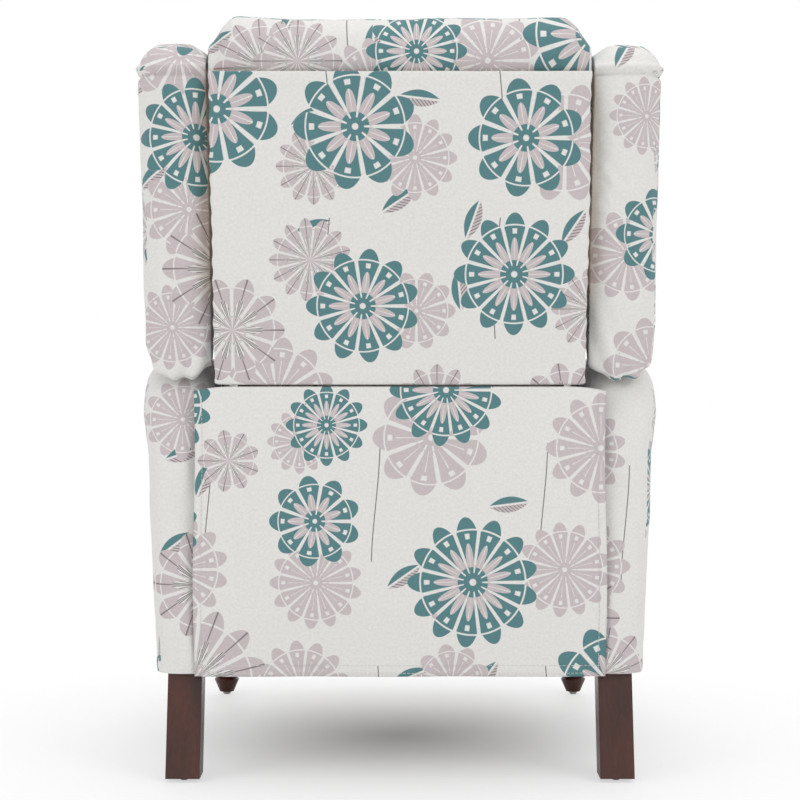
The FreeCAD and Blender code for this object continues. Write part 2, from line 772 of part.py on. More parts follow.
def seat_cushion():
    """The seat's crowned cushion, with soft edges and sides drawn in towards its corners."""
    half = value(f"{ARM_INNER} - seat_side_gap")
    corner = value("cushion_corner")
    front = value(f"{FRONT} + 1")
    back = value(f"{PIVOT_Y} - seat_rear_gap")
    low = value(SEAT_UNDER)
    crown = value("seat_crown")
    edge_top = value("seat_height") - crown
    sections = []
    for x, drawn in stations(half, corner):
        rise = crown * (1 - (x / half) ** 2)
        sections.append(cushion_section(x, (front + drawn * 0.5, back - drawn * 0.5),
                                        (low + drawn * 0.6, edge_top - drawn * 0.9 + rise * 0.4),
                                        corner, rise * 0.6 + 1))
    feature("seat_cushion", Part.makeLoft(sections, True, True))


def cushion_section(x, across, up, corner, crown):
    """A closed section at x with four soft corners and a crowned top."""
    front, back = across
    low, high = up
    small = min(corner * 0.5, (high - low) / 4)
    large = min(corner, (high - low) / 2.5)
    edges = []
    spots = (
        (back, low + small), (back, high - large), (back - large, high),
        (front + large, high), (front, high - large), (front, low + small),
        (front + small, low), (back - small, low))
    spots = [Vector(x, y, z) for y, z in spots]
    centres = {1: (back - large, high - large, 45, large), 3: (front + large, high - large, 135, large),
               5: (front + small, low + small, 225, small), 7: (back - small, low + small, 315, small)}
    for index, start in enumerate(spots):
        end = spots[(index + 1) % len(spots)]
        if index in centres:
            y, z, turn, radius = centres[index]
            angle = math.radians(turn)
            through = Vector(x, y + radius * math.cos(angle), z + radius * math.sin(angle))
            edges.append(Part.Arc(start, through, end).toShape())
        elif index == 2:
            through = Vector(x, (front + back) / 2, high + crown)
            edges.append(Part.Arc(start, through, end).toShape())
        else:
            edges.append(Part.LineSegment(start, end).toShape())
    return Part.Wire(edges)


def seat_deck():
    """The cloth over the seat's springs, on the seat's rails."""
    front = f"({FRONT} + seat_front_set)"
    rear = f"({PIVOT_Y} - seat_rear_set)"
    wide = f"({SEAT_PLANE} + plate_thickness)"
    keep(box("seat_deck", (f"(-{wide})", front, RAIL_TOP),
             (wide, rear, f"({RAIL_TOP} + seat_deck_thickness)")), "seat_deck")


def back_placement():
    """Where the back's own frame stands: X across, Y to the rear, Z up the rake, from the hem."""
    spot = Vector(0, value(HEM_Y), value("back_hem_height"))
    return Placement(spot, Rotation(Vector(1, 0, 0), -value("back_rake")))


def back_feature(name, shape):
    thing = feature(name, shape)
    thing.Placement = back_placement()
    return thing


def back_block(name, low, high):
    """A block of the back's frame between two corners in the back's own frame."""
    corner = Vector(*(value(text) for text in low))
    far = Vector(*(value(text) for text in high))
    size = far - corner
    return Part.makeBox(size.x, size.y, size.z, corner)


STILE_OUTER = "(back_panel_width / 2 - stile_inset)"
FRAME_REAR = "(-back_panel_thickness - soft_gap)"
FRAME_FRONT = f"({FRAME_REAR} - back_rail_depth)"
FRAME_TOP = f"({SEAM_UP} - soft_gap)"


def back_frame():
    """Two stiles, notched for the brackets, and two rails between them."""
    inner = f"({SWING_PLANE} - back_rail_width)"
    low = "frame_foot"
    for side_name, side in SIDES:
        name = f"back_stile_{side_name}"
        stile = back_block(name, (inner, FRAME_FRONT, low), (STILE_OUTER, FRAME_REAR, FRAME_TOP))
        notch = back_block(name, (SWING_PLANE, f"({FRAME_FRONT} - 1)", f"({low} - 1)"),
                           (f"({STILE_OUTER} + 1)", f"({FRAME_REAR} + 1)", "bracket_reach + 8"))
        stile = stile.cut(notch)
        if side < 0:
            stile = stile.mirror(Vector(0, 0, 0), Vector(1, 0, 0))
        back_feature(name, stile)
    for name, foot in (("back_bottom_rail", low), ("back_top_rail", f"({FRAME_TOP} - back_rail_height)")):
        back_feature(name, back_block(name, (f"(-{inner})", FRAME_FRONT, foot),
                                      (inner, FRAME_REAR, f"({foot} + back_rail_height)")))


def back_springs():
    """Sinuous springs between the back's rails."""
    wire = value("back_spring_wire")
    pitch = value("back_spring_pitch")
    depth = value(f"{FRAME_FRONT} + back_rail_depth / 2")
    low = value("frame_foot + back_rail_height + spring_gap + back_spring_wire / 4")
    high = value(f"{FRAME_TOP} - back_rail_height - spring_gap - back_spring_wire / 4")
    springs = [zigzag(Vector(index * pitch, depth, low), Vector(index * pitch, depth, high),
                      6, pitch * 0.7, wire, Vector(0, 1, 0)) for index in (0.5, 1.5)]
    back_feature("back_springs", Part.makeCompound(mirrored(springs)))


def back_panel():
    """The flat outer back with softly rounded rims, and a straight lower edge for the flap."""
    body = new_body("back_panel")
    half = "(back_panel_width / 2)"
    sketch = draw(body, "XZ_Plane", ((f"(-{half})", "0"), (half, "0"), (half, SEAM_UP), (f"(-{half})", SEAM_UP)))
    pad(body, sketch, "back_panel_thickness")
    soften(body, "panel_round",
           lambda edge: abs(edge.YMax) < 0.01 and edge.YLength < 0.01 and edge.ZMax > 1)
    body.Placement = back_placement()


def back_cushion():
    """The padded front of the back, crowned and drawn in at its sides."""
    half = value("back_panel_width / 2 - back_cushion_inset")
    corner = value("cushion_corner")
    rear = value(f"{FRAME_FRONT} - soft_gap")
    front = rear - value("back_cushion_thickness")
    high = value(f"{FRAME_TOP}")
    low_rear = value("-cushion_tail")
    low_front = low_rear - (rear - front) * math.tan(math.radians(value("back_rake")))
    sections = []
    for x, drawn in stations(half, corner):
        crown = value("back_crown") * (1 - (x / half) ** 2) + 1
        sections.append(back_section(x, (front + crown + drawn * 0.8, rear - drawn * 0.4),
                                     (low_front + drawn * 0.6, low_rear + drawn * 0.6, high - drawn * 0.5),
                                     corner, crown))
    back_feature("back_cushion", Part.makeLoft(sections, True, True))


def back_section(x, across, up, corner, crown):
    """A closed section at x of the back's padding: flat behind, crowned in front."""
    front, rear = across
    low_front, low_rear, high = up
    step = corner * (1 - math.sqrt(0.5))
    spots = [
        Vector(x, rear, low_rear), Vector(x, rear, high), Vector(x, front + corner, high),
        Vector(x, front, high - corner), Vector(x, front, low_front + corner),
        Vector(x, front + corner, low_front + corner * 0.15)]
    middle = Vector(x, front - crown, (low_front + high) / 2)
    high_corner = Vector(x, front + step, high - step)
    low_corner = Vector(x, front + step * 0.9, low_front + step * 1.2)
    return Part.Wire([edge.toShape() for edge in (
        Part.LineSegment(spots[0], spots[1]),
        Part.LineSegment(spots[1], spots[2]),
        Part.Arc(spots[2], high_corner, spots[3]),
        Part.Arc(spots[3], middle, spots[4]),
        Part.Arc(spots[4], low_corner, spots[5]),
        Part.LineSegment(spots[5], spots[0]))])


def headrest_roll():
    """The padded roll that lies over the top of the back, level on top and low in front."""
    rake = math.radians(value("back_rake"))
    radius = value("roll_rear_radius")
    foot = value(SEAM_UP)
    centre = Vector(0, 3 - radius, value(ROLL_UP))

    def ring(turn):
        return centre + Vector(0, radius * math.cos(turn), radius * math.sin(turn))

    start = Vector(0, centre.y + math.sqrt(radius ** 2 - (centre.z - foot) ** 2), foot)
    top = ring(rake + math.pi / 2)
    run = value("roll_depth") + centre.y - value("roll_front_radius")
    brow = top - Vector(0, run * math.cos(rake), run * math.sin(rake) + value("roll_slope"))
    nose = Vector(0, -value("roll_depth"), foot)
    cheek = (brow + nose) * 0.5 + Vector(0, -1, 1) * (value("roll_front_radius") * 0.2)
    crest = (top + brow) * 0.5 + Vector(0, 0, 1)
    outline = (start, ring(rake + math.pi / 4), top, crest, brow, cheek, nose)
    middle = (start.y + nose.y) / 2
    corner = value("roll_corner")
    sections = []
    for x, drawn in stations(value("back_panel_width / 2"), corner):
        low = 1 - drawn / corner * 0.6
        slim = 1 - drawn / corner * 0.12
        spots = [Vector(x, middle + (spot.y - middle) * slim, foot + (spot.z - foot) * low)
                 for spot in outline]
        sections.append(Part.Wire([edge.toShape() for edge in (
            Part.Arc(*spots[0:3]), Part.Arc(*spots[2:5]), Part.Arc(*spots[4:7]),
            Part.LineSegment(spots[6], spots[0]))]))
    back_feature("headrest_roll", Part.makeLoft(sections, True, True))


def wing_outline():
    """Corners of a wing's side view, each with the arc's middle on the way to it, or None."""
    reach = value("arm_rear_round + wing_clearance")
    pivot = Vector(0, value(PIVOT_Y), value(PIVOT_Z))
    tip_z = value("back_hem_height + 6")
    tip = math.asin((tip_z - pivot.z) / reach)
    top_up = value("((overall_height - wing_top_drop) - back_hem_height - 45 * sin(back_rake)) / cos(back_rake)")
    seam = value(SEAM_UP)
    deep = value("wing_depth")
    foot = value("wing_foot")

    def spot(up, rear):
        return Vector(0, value(back_y(up, rear)), value(back_z(up, rear)))

    def ring(turn):
        return pivot + Vector(0, reach * math.cos(turn), reach * math.sin(turn))

    return (
        (pivot + Vector(0, -foot, reach), None),
        (ring(math.pi / 2), None),
        (ring(tip), ring((math.pi / 2 + tip) / 2)),
        (spot(8, 0), None),
        (spot(seam - 7, 0), None),
        (spot(top_up, -45), spot(top_up - 14, -13)),
        (spot(top_up - 24, -deep * 0.6), spot(top_up - 3, -deep * 0.42)),
        (spot(seam * 0.76, -deep), spot(top_up - 72, -deep * 0.9)),
        (spot(seam * 0.48, -deep), spot(seam * 0.62, -deep - 4)),
        (pivot + Vector(0, -foot, reach + 40), spot(seam * 0.3, -deep * 0.9)))


def inset(outline, depth, x):
    """The outline as a closed section at x, with each point drawn inwards by a depth."""
    corners = [corner for corner, middle in outline]
    count = len(corners)
    normals = []
    for index, (corner, middle) in enumerate(outline):
        chord = corner - corners[index - 1]
        normals.append(Vector(0, -chord.z, chord.y).normalize())
    moved = []
    for index in range(count):
        both = normals[index] + normals[(index + 1) % count]
        both.normalize()
        lean = max(both.dot(normals[index]), 0.45)
        moved.append(corners[index] + both * (depth / lean))
    edges = []
    for index, (corner, middle) in enumerate(outline):
        start = moved[index - 1] + Vector(x, 0, 0)
        end = moved[index] + Vector(x, 0, 0)
        if middle:
            through = middle + normals[index] * depth + Vector(x, 0, 0)
            edges.append(Part.Arc(start, through, end).toShape())
        else:
            edges.append(Part.LineSegment(start, end).toShape())
    return Part.Wire(edges)


def wings():
    """The padded wings: domed on top, rounded in front, hollowed to clear the arms' rear rounds."""
    outline = wing_outline()
    near = value("back_panel_width / 2 + soft_gap")
    far = value("overall_width / 2")
    soft = value("wing_round")
    for side_name, side in SIDES:
        sections = []
        for x, drawn in stations((far - near) / 2, soft, False):
            sections.append(inset(outline, drawn * 0.8, side * ((near + far) / 2 + x)))
        feature(f"wing_{side_name}", Part.makeLoft(sections, True, True))


def back_brackets():
    """The steel plates on the back's stiles, with the tilt pivot and the arm that carries the seat."""
    lobe = "lobe_radius"
    for side_name, side in SIDES:
        body = side_plate(f"back_bracket_{side_name}", side, SWING_PLANE, "plate_thickness", (
            (f"({PIVOT_Y} - {lobe})", f"({REST_Z} - {lobe})"),
            (f"({PIVOT_Y} + {lobe})", f"({REST_Z} - {lobe})"),
            (f"({PIVOT_Y} + {lobe} * 1.3)", PIVOT_Z),
            (back_y("4", f"({FRAME_REAR} - 3)"), back_z("4", f"({FRAME_REAR} - 3)")),
            (back_y("bracket_reach", f"({FRAME_REAR} - 3)"), back_z("bracket_reach", f"({FRAME_REAR} - 3)")),
            (back_y("bracket_reach", f"({FRAME_FRONT} + 3)"), back_z("bracket_reach", f"({FRAME_FRONT} + 3)")),
            (f"({PIVOT_Y} - {lobe} * 1.3)", f"({PIVOT_Z} + {lobe})")))
        soften(body, "lobe_radius * 0.5", across_x)
        drill(body, ((PIVOT_Y, PIVOT_Z), (PIVOT_Y, REST_Z)), "(pin_radius + pin_play / 2)")


def back_flap():
    """The loose cloth sewn to the back's lower edge, with its gentle hanging waves."""
    half = value("back_panel_width / 2 + flap_overhang")
    thick = value("flap_thickness")
    wave = value("flap_wave")
    count = 6
    base = value(f"{HEM_Y} - flap_wave * 0.5 - flap_thickness")
    top = value("back_hem_height - flap_seat")
    tall = value("flap_length")
    step = 2 * half / count
    front = []
    rear = []
    for index in range(count):
        start = -half + index * step
        bow = wave if index % 2 else 0
        low = base + wave * 0.5
        through = base + bow
        front.append(Part.Arc(Vector(start, low, top - tall), Vector(start + step / 2, through, top - tall),
                              Vector(start + step, low, top - tall)).toShape())
        rear.append(Part.Arc(Vector(start + step, low + thick, top - tall),
                             Vector(start + step / 2, through + thick, top - tall),
                             Vector(start, low + thick, top - tall)).toShape())
    near = Part.LineSegment(Vector(half, base + wave * 0.5, top - tall),
                            Vector(half, base + wave * 0.5 + thick, top - tall)).toShape()
    far = Part.LineSegment(Vector(-half, base + wave * 0.5 + thick, top - tall),
                           Vector(-half, base + wave * 0.5, top - tall)).toShape()
    face = Part.Face(Part.Wire([*front, near, *rear[::-1], far]))
    feature("back_flap", face.extrude(Vector(0, 0, tall)))


def build():
    """Make every sub-part."""
    for side_name, side in SIDES:
        arm_cover(side_name, side)
        arm_frame(side_name, side)
        rear_leg(side_name, side)
    front_legs()
    cross_rails()
    glides()
    base_rails()
    rail_screws()
    swing_links()
    seat_plates()
    seat_rails()
    seat_springs()
    seat_deck()
    seat_cushion()
    footrest_links()
    footrest()
    back_frame()
    back_springs()
    back_panel()
    back_cushion()
    headrest_roll()
    wings()
    back_brackets()
    back_flap()


def write_parts():
    """Check every object, then write each sub-part to its own file."""
    DOC.recompute()
    failed = [thing.Name for thing in DOC.Objects
              if "Invalid" in thing.State or "Error" in thing.State]
    if failed:
        raise RuntimeError(f"these objects failed: {failed}")
    for thing in PARTS:
        if thing.Shape.isNull() or not thing.Shape.isValid() or not thing.Shape.Solids:
            raise RuntimeError(f"{thing.Label} has no valid shape")
    os.makedirs("parts", exist_ok=True)
    for thing in PARTS:
        thing.Shape.exportStep(f"parts/{thing.Label}.step")


build()
write_parts()
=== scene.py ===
"""Wingback recliner with push-back: the looks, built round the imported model."""

import math

import bmesh
import bpy
import numpy as np
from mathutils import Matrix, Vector, noise


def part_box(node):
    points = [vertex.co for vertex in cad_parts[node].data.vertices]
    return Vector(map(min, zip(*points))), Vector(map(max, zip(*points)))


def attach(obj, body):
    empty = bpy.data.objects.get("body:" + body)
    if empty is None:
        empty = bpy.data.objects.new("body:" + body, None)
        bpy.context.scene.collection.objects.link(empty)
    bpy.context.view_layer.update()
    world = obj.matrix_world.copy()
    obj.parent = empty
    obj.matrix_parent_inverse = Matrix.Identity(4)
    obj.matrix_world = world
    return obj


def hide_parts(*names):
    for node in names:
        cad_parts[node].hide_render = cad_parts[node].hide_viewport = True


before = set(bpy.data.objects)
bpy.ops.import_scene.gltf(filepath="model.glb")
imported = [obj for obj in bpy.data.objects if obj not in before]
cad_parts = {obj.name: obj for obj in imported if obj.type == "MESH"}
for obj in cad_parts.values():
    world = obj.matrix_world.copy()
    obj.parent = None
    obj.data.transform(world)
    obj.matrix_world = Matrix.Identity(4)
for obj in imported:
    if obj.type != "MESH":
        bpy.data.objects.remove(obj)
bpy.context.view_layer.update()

bl_info = {
    "name": "Wingback Recliner",
    "version": (1, 0, 0),
    "blender": (4, 5, 0),
    "location": "View3D > Sidebar > Recliner",
    "description": "Builds the upholstery, finishes and studio of a push-back wingback recliner",
    "category": "Object",
}

SIDES = (("left", 1), ("right", -1))
CLOTH_SIZE = 0.0062
SEAM_Z = 0.938
BACK_RAKE = math.radians(13)
PLAY = 0.0006
FLAT_WITHIN = 0.0015
FLAP_THICKNESS = 0.0018
HEM_ROWS = (0.0045, 0.0148)
SIDE_HEM_ROW = 0.010


# Settings that a user would change

class ClothSettings(bpy.types.PropertyGroup):
    """Colours and sizes of the upholstery cloth and its print."""

    ground: bpy.props.FloatVectorProperty(
        name="Ground", description="Colour of the undyed cloth", subtype="COLOR",
        default=(0.80, 0.79, 0.765), min=0, max=1)
    teal: bpy.props.FloatVectorProperty(
        name="Teal", description="Colour of the strong ink", subtype="COLOR",
        default=(0.105, 0.235, 0.25), min=0, max=1)
    taupe: bpy.props.FloatVectorProperty(
        name="Taupe", description="Colour of the soft ink", subtype="COLOR",
        default=(0.60, 0.53, 0.54), min=0, max=1)
    line: bpy.props.FloatVectorProperty(
        name="Line", description="Colour of the thin drawn lines", subtype="COLOR",
        default=(0.21, 0.18, 0.18), min=0, max=1)
    motif: bpy.props.FloatProperty(
        name="Motif", description="Spacing of the printed rosettes", default=0.205,
        min=0.05, max=0.5, unit="LENGTH")
    weave: bpy.props.FloatProperty(
        name="Weave", description="Width of one yarn of the cloth", default=0.0009,
        min=0.0002, max=0.005, precision=4, unit="LENGTH")


class PaddingSettings(bpy.types.PropertyGroup):
    """How the padded pieces swell."""

    pressure: bpy.props.FloatProperty(
        name="Pressure", description="Air pressure inside a pad while it is simulated",
        default=4.0, min=0, max=20)
    steps: bpy.props.IntProperty(
        name="Steps", description="Frames of cloth simulation for each pad",
        default=16, min=2, max=60)
    stitch_length: bpy.props.FloatProperty(
        name="Stitch Length", description="Length of one stitch", default=0.004,
        min=0.001, max=0.02, unit="LENGTH")
    stitch_gap: bpy.props.FloatProperty(
        name="Stitch Gap", description="Space between two stitches", default=0.0018,
        min=0.0005, max=0.01, unit="LENGTH")


class FinishSettings(bpy.types.PropertyGroup):
    """Colours of the wood and steel."""

    wood: bpy.props.FloatVectorProperty(
        name="Leg Wood", description="Colour of the stained legs", subtype="COLOR",
        default=(0.034, 0.0125, 0.010), min=0, max=1)
    wood_glow: bpy.props.FloatVectorProperty(
        name="Leg Glow", description="Warm colour where the stain is thin", subtype="COLOR",
        default=(0.095, 0.026, 0.015), min=0, max=1)
    steel: bpy.props.FloatVectorProperty(
        name="Mechanism Paint", description="Colour of the mechanism's paint", subtype="COLOR",
        default=(0.022, 0.022, 0.024), min=0, max=1)


class StudioSettings(bpy.types.PropertyGroup):
    """Camera and light of the studio."""

    distance: bpy.props.FloatProperty(
        name="Distance", description="How far the camera stands behind the chair's middle",
        default=2.9, min=0.5, max=20, unit="LENGTH")
    height: bpy.props.FloatProperty(
        name="Height", description="Height of the camera over the floor", default=0.54,
        min=0, max=5, unit="LENGTH")
    lens: bpy.props.FloatProperty(
        name="Lens", description="Focal length in millimetres", default=86.0, min=10, max=300)
    light: bpy.props.FloatProperty(
        name="Light", description="Strength of the soft lamps together", default=1.0,
        min=0, max=10)


# Node helpers

def noodle(tree, source, target):
    """Join two sockets."""
    tree.links.new(source, target)


def math_node(tree, operation, first, second=None, third=None, clamp=False):
    """A Math node on sockets or numbers; returns its output."""
    node = tree.nodes.new("ShaderNodeMath")
    node.operation = operation
    node.use_clamp = clamp
    for index, item in enumerate((first, second, third)):
        if item is None:
            continue
        if hasattr(item, "is_linked"):
            noodle(tree, item, node.inputs[index])
        else:
            node.inputs[index].default_value = item
    return node.outputs[0]


def vector_math(tree, operation, first, second):
    """A Vector Math node on two sockets; returns its output."""
    node = tree.nodes.new("ShaderNodeVectorMath")
    node.operation = operation
    noodle(tree, first, node.inputs[0])
    noodle(tree, second, node.inputs["Scale" if operation == "SCALE" else 1])
    return node.outputs[0]


def split(tree, vector):
    """The X and Y of a vector, as sockets."""
    node = tree.nodes.new("ShaderNodeSeparateXYZ")
    noodle(tree, vector, node.inputs[0])
    return node.outputs[0], node.outputs[1]


def noise_node(tree, where, **settings):
    """A Noise Texture with its inputs set by name; returns the node."""
    node = tree.nodes.new("ShaderNodeTexNoise")
    noodle(tree, where, node.inputs["Vector"])
    set_inputs(node, **settings)
    return node


def set_inputs(node, **settings):
    """Set a node's inputs by name."""
    for label, value in settings.items():
        node.inputs[label.replace("_", " ").replace("ior", "IOR")].default_value = value


def voronoi_node(tree, where, randomness, feature="F1"):
    """A flat Voronoi Texture with cells one unit wide; returns the node."""
    node = tree.nodes.new("ShaderNodeTexVoronoi")
    node.voronoi_dimensions = "2D"
    node.feature = feature
    set_inputs(node, Scale=1.0, Randomness=randomness)
    noodle(tree, where, node.inputs["Vector"])
    return node


def print_cells(tree, start, randomness):
    """The cells of a print: their map, Voronoi node, arm from the middle, and three random numbers."""
    scaled = vector_math(tree, "SCALE", start.outputs["Surface"],
                         math_node(tree, "DIVIDE", 1.0, start.outputs["Spacing"]))
    push = tree.nodes.new("ShaderNodeCombineXYZ")
    for index in (0, 1):
        noodle(tree, start.outputs["Shift"], push.inputs[index])
    where = vector_math(tree, "ADD", scaled, push.outputs[0])
    cells = voronoi_node(tree, where, randomness)
    arm = vector_math(tree, "SUBTRACT", where, cells.outputs["Position"])
    kind = tree.nodes.new("ShaderNodeSeparateColor")
    noodle(tree, cells.outputs["Color"], kind.inputs[0])
    return where, cells, arm, kind.outputs


def mix_colour(tree, factor, low, high):
    """Blend two colours by a factor; returns the colour socket."""
    node = tree.nodes.new("ShaderNodeMix")
    node.data_type = "RGBA"
    for socket, item in ((node.inputs[0], factor), (node.inputs[6], low), (node.inputs[7], high)):
        if hasattr(item, "is_linked"):
            noodle(tree, item, socket)
        else:
            socket.default_value = item if isinstance(item, float) else (*item[:3], 1)
    return node.outputs[2]


def step_below(tree, value, limit, soft=0.02):
    """A mask that is 1 where value is under limit, with a soft edge."""
    over = math_node(tree, "SUBTRACT", limit, value)
    return math_node(tree, "DIVIDE", over, soft, clamp=True)


def both(tree, *masks):
    """The product of masks."""
    result = masks[0]
    for mask in masks[1:]:
        result = math_node(tree, "MULTIPLY", result, mask)
    return result


def new_group(name, inputs, outputs):
    """An empty shader node group with named sockets."""
    group = bpy.data.node_groups.new(name, "ShaderNodeTree")
    for label, kind, default in inputs:
        socket = group.interface.new_socket(label, in_out="INPUT", socket_type=kind)
        if default is not None:
            socket.default_value = default
    for label, kind in outputs:
        group.interface.new_socket(label, in_out="OUTPUT", socket_type=kind)
    start = group.nodes.new("NodeGroupInput")
    end = group.nodes.new("NodeGroupOutput")
    return group, start, end


def use_group(tree, group, **values):
    """Place a group in a tree and set its inputs by name."""
    node = tree.nodes.new("ShaderNodeGroup")
    node.node_tree = group
    for label, item in values.items():
        socket = node.inputs[label.replace("_", " ").title()]
        if hasattr(item, "is_linked"):
            noodle(tree, item, socket)
        elif isinstance(item, (int, float)):
            socket.default_value = item
        else:
            socket.default_value = (*item, 1) if len(item) == 3 and socket.type == "RGBA" else item
    return node


# Shader groups

def rosette_group():
    """Rosettes of petals, rings and dots, one kind to a cell, on a surface map in metres."""
    group, start, end = new_group(
        "Rosette Print",
        (("Surface", "NodeSocketVector", None), ("Spacing", "NodeSocketFloat", 0.17),
         ("Size", "NodeSocketFloat", 0.4), ("Shift", "NodeSocketFloat", 0.0)),
        (("Strong", "NodeSocketFloat"), ("Soft", "NodeSocketFloat"), ("Line", "NodeSocketFloat"),
         ("Cover", "NodeSocketFloat")))
    tree = group
    where, cells, arm, (pick, vary, extra) = print_cells(tree, start, 0.55)
    across, up = split(tree, arm)
    turn = math_node(tree, "ARCTAN2", up, across)
    room = voronoi_node(tree, where, 0.55, "N_SPHERE_RADIUS")
    size = math_node(tree, "MULTIPLY", start.outputs["Size"],
                     math_node(tree, "MULTIPLY_ADD", vary, 0.16, 0.84))
    reach = math_node(tree, "DIVIDE", cells.outputs["Distance"],
                      math_node(tree, "MULTIPLY", size, room.outputs["Radius"]))
    return finish_rosette(tree, end, turn, reach, pick, extra, group)


def waves(tree, turn, count):
    """A wave round the rosette, from 0 between petals to 1 on their middles."""
    angle = math_node(tree, "MULTIPLY", turn, count)
    return math_node(tree, "MULTIPLY_ADD", math_node(tree, "COSINE", angle), 0.5, 0.5)


def finish_rosette(tree, end, turn, reach, pick, extra, group):
    """The inked shapes of a rosette from its polar coordinates."""
    petals = math_node(tree, "ADD", math_node(tree, "FLOOR", math_node(tree, "MULTIPLY", extra, 5.0)), 9.0)
    ring_wave = waves(tree, turn, petals)
    edge = math_node(tree, "MULTIPLY_ADD", math_node(tree, "POWER", ring_wave, 0.45), 0.3, 0.7)
    whole = step_below(tree, reach, edge, 0.012)
    inner = math_node(tree, "MULTIPLY_ADD", math_node(tree, "POWER", ring_wave, 0.8), 0.36, 0.24)
    leaflet = both(tree, step_below(tree, reach, inner, 0.015),
                   math_node(tree, "SUBTRACT", 1.0, step_below(tree, reach, 0.24, 0.015)))
    vein = step_below(tree, math_node(tree, "SUBTRACT", 1.0, ring_wave), 0.012, 0.012)
    gap = step_below(tree, ring_wave, math_node(tree, "MULTIPLY_ADD", reach, -0.16, 0.2), 0.05)
    ring = step_below(tree, math_node(tree, "ABSOLUTE", math_node(tree, "SUBTRACT", reach, 0.8)), 0.018, 0.01)
    eye = step_below(tree, reach, 0.15, 0.015)
    pip = step_below(tree, reach, 0.06, 0.015)
    band = math_node(tree, "ABSOLUTE", math_node(tree, "SUBTRACT", reach, 0.7))
    hole = both(tree, step_below(tree, band, 0.05, 0.015),
                step_below(tree, math_node(tree, "SUBTRACT", 1.0, ring_wave), 0.12, 0.04))
    plain = math_node(tree, "SUBTRACT", 1.0, gap)
    teal_kind = math_node(tree, "GREATER_THAN", pick, 0.4)
    body = both(tree, whole, plain, math_node(tree, "SUBTRACT", 1.0, hole),
                math_node(tree, "SUBTRACT", 1.0, leaflet), math_node(tree, "SUBTRACT", 1.0, ring))
    strong = both(tree, math_node(tree, "MAXIMUM", body, eye), teal_kind)
    other = math_node(tree, "SUBTRACT", 1.0, teal_kind)
    soft_petals = both(tree, whole, plain, math_node(tree, "SUBTRACT", 1.0, ring),
                       math_node(tree, "SUBTRACT", 1.0, leaflet))
    soft = math_node(tree, "MAXIMUM", both(tree, soft_petals, other),
                     both(tree, leaflet, teal_kind, math_node(tree, "SUBTRACT", 1.0, vein)))
    comb = waves(tree, turn, math_node(tree, "MULTIPLY", petals, 6.0))
    hatch = both(tree, leaflet, other, step_below(tree, comb, 0.35, 0.2))
    line = math_node(tree, "MAXIMUM", hatch, both(tree, vein, whole, other))
    noodle(tree, both(tree, strong, math_node(tree, "SUBTRACT", 1.0, pip)), end.inputs["Strong"])
    noodle(tree, soft, end.inputs["Soft"])
    noodle(tree, line, end.inputs["Line"])
    noodle(tree, whole, end.inputs["Cover"])
    return group


def leaf_group():
    """Two-toned leaves and thin stems between the rosettes."""
    group, start, end = new_group(
        "Leaf Print",
        (("Surface", "NodeSocketVector", None), ("Spacing", "NodeSocketFloat", 0.12),
         ("Shift", "NodeSocketFloat", 0.0)),
        (("Strong", "NodeSocketFloat"), ("Soft", "NodeSocketFloat"), ("Line", "NodeSocketFloat")))
    tree = group
    _, _, arm, kind = print_cells(tree, start, 0.6)
    turned = tree.nodes.new("ShaderNodeVectorRotate")
    turned.rotation_type = "Z_AXIS"
    noodle(tree, arm, turned.inputs["Vector"])
    noodle(tree, math_node(tree, "MULTIPLY_ADD", kind[0], 1.9, -0.2), turned.inputs["Angle"])
    along, across = split(tree, turned.outputs[0])
    taper = math_node(tree, "SUBTRACT", 1.0, math_node(
        tree, "POWER", math_node(tree, "DIVIDE", math_node(tree, "ABSOLUTE", along), 0.23), 2.0), clamp=True)
    width = math_node(tree, "MULTIPLY", taper, 0.09)
    inside = step_below(tree, math_node(tree, "ABSOLUTE", across), width, 0.008)
    shown = math_node(tree, "GREATER_THAN", kind[1], 0.35)
    upper = step_below(tree, math_node(tree, "MULTIPLY", across, -1.0), -0.008, 0.008)
    lower = step_below(tree, across, -0.008, 0.008)
    stripes = math_node(tree, "SINE", math_node(
        tree, "MULTIPLY", math_node(tree, "ADD", along, math_node(tree, "ABSOLUTE", across)), 150.0))
    noodle(tree, both(tree, inside, upper, shown), end.inputs["Strong"])
    noodle(tree, both(tree, inside, lower, shown), end.inputs["Soft"])
    noodle(tree, both(tree, inside, lower, shown, math_node(tree, "GREATER_THAN", stripes, 0.55)),
           end.inputs["Line"])
    return group


def weave_group():
    """Crossing yarns of a plain linen weave, as a height and a slight change of tone."""
    group, start, end = new_group(
        "Linen Weave",
        (("Surface", "NodeSocketVector", None), ("Yarn", "NodeSocketFloat", 0.0009)),
        (("Height", "NodeSocketFloat"), ("Tone", "NodeSocketFloat")))
    tree = group
    turns = math_node(tree, "DIVIDE", math.pi, start.outputs["Yarn"])
    first, second = (math_node(tree, "SINE", math_node(tree, "MULTIPLY", way, turns))
                     for way in split(tree, start.outputs["Surface"]))
    cross = math_node(tree, "MULTIPLY", first, second)
    slub = noise_node(tree, start.outputs["Surface"], Scale=260.0, Detail=3.0)
    height = math_node(tree, "MULTIPLY_ADD", cross, 0.35, slub.outputs["Fac"])
    noodle(tree, height, end.inputs["Height"])
    noodle(tree, math_node(tree, "MULTIPLY_ADD", slub.outputs["Fac"], 0.22, 0.89), end.inputs["Tone"])
    return group


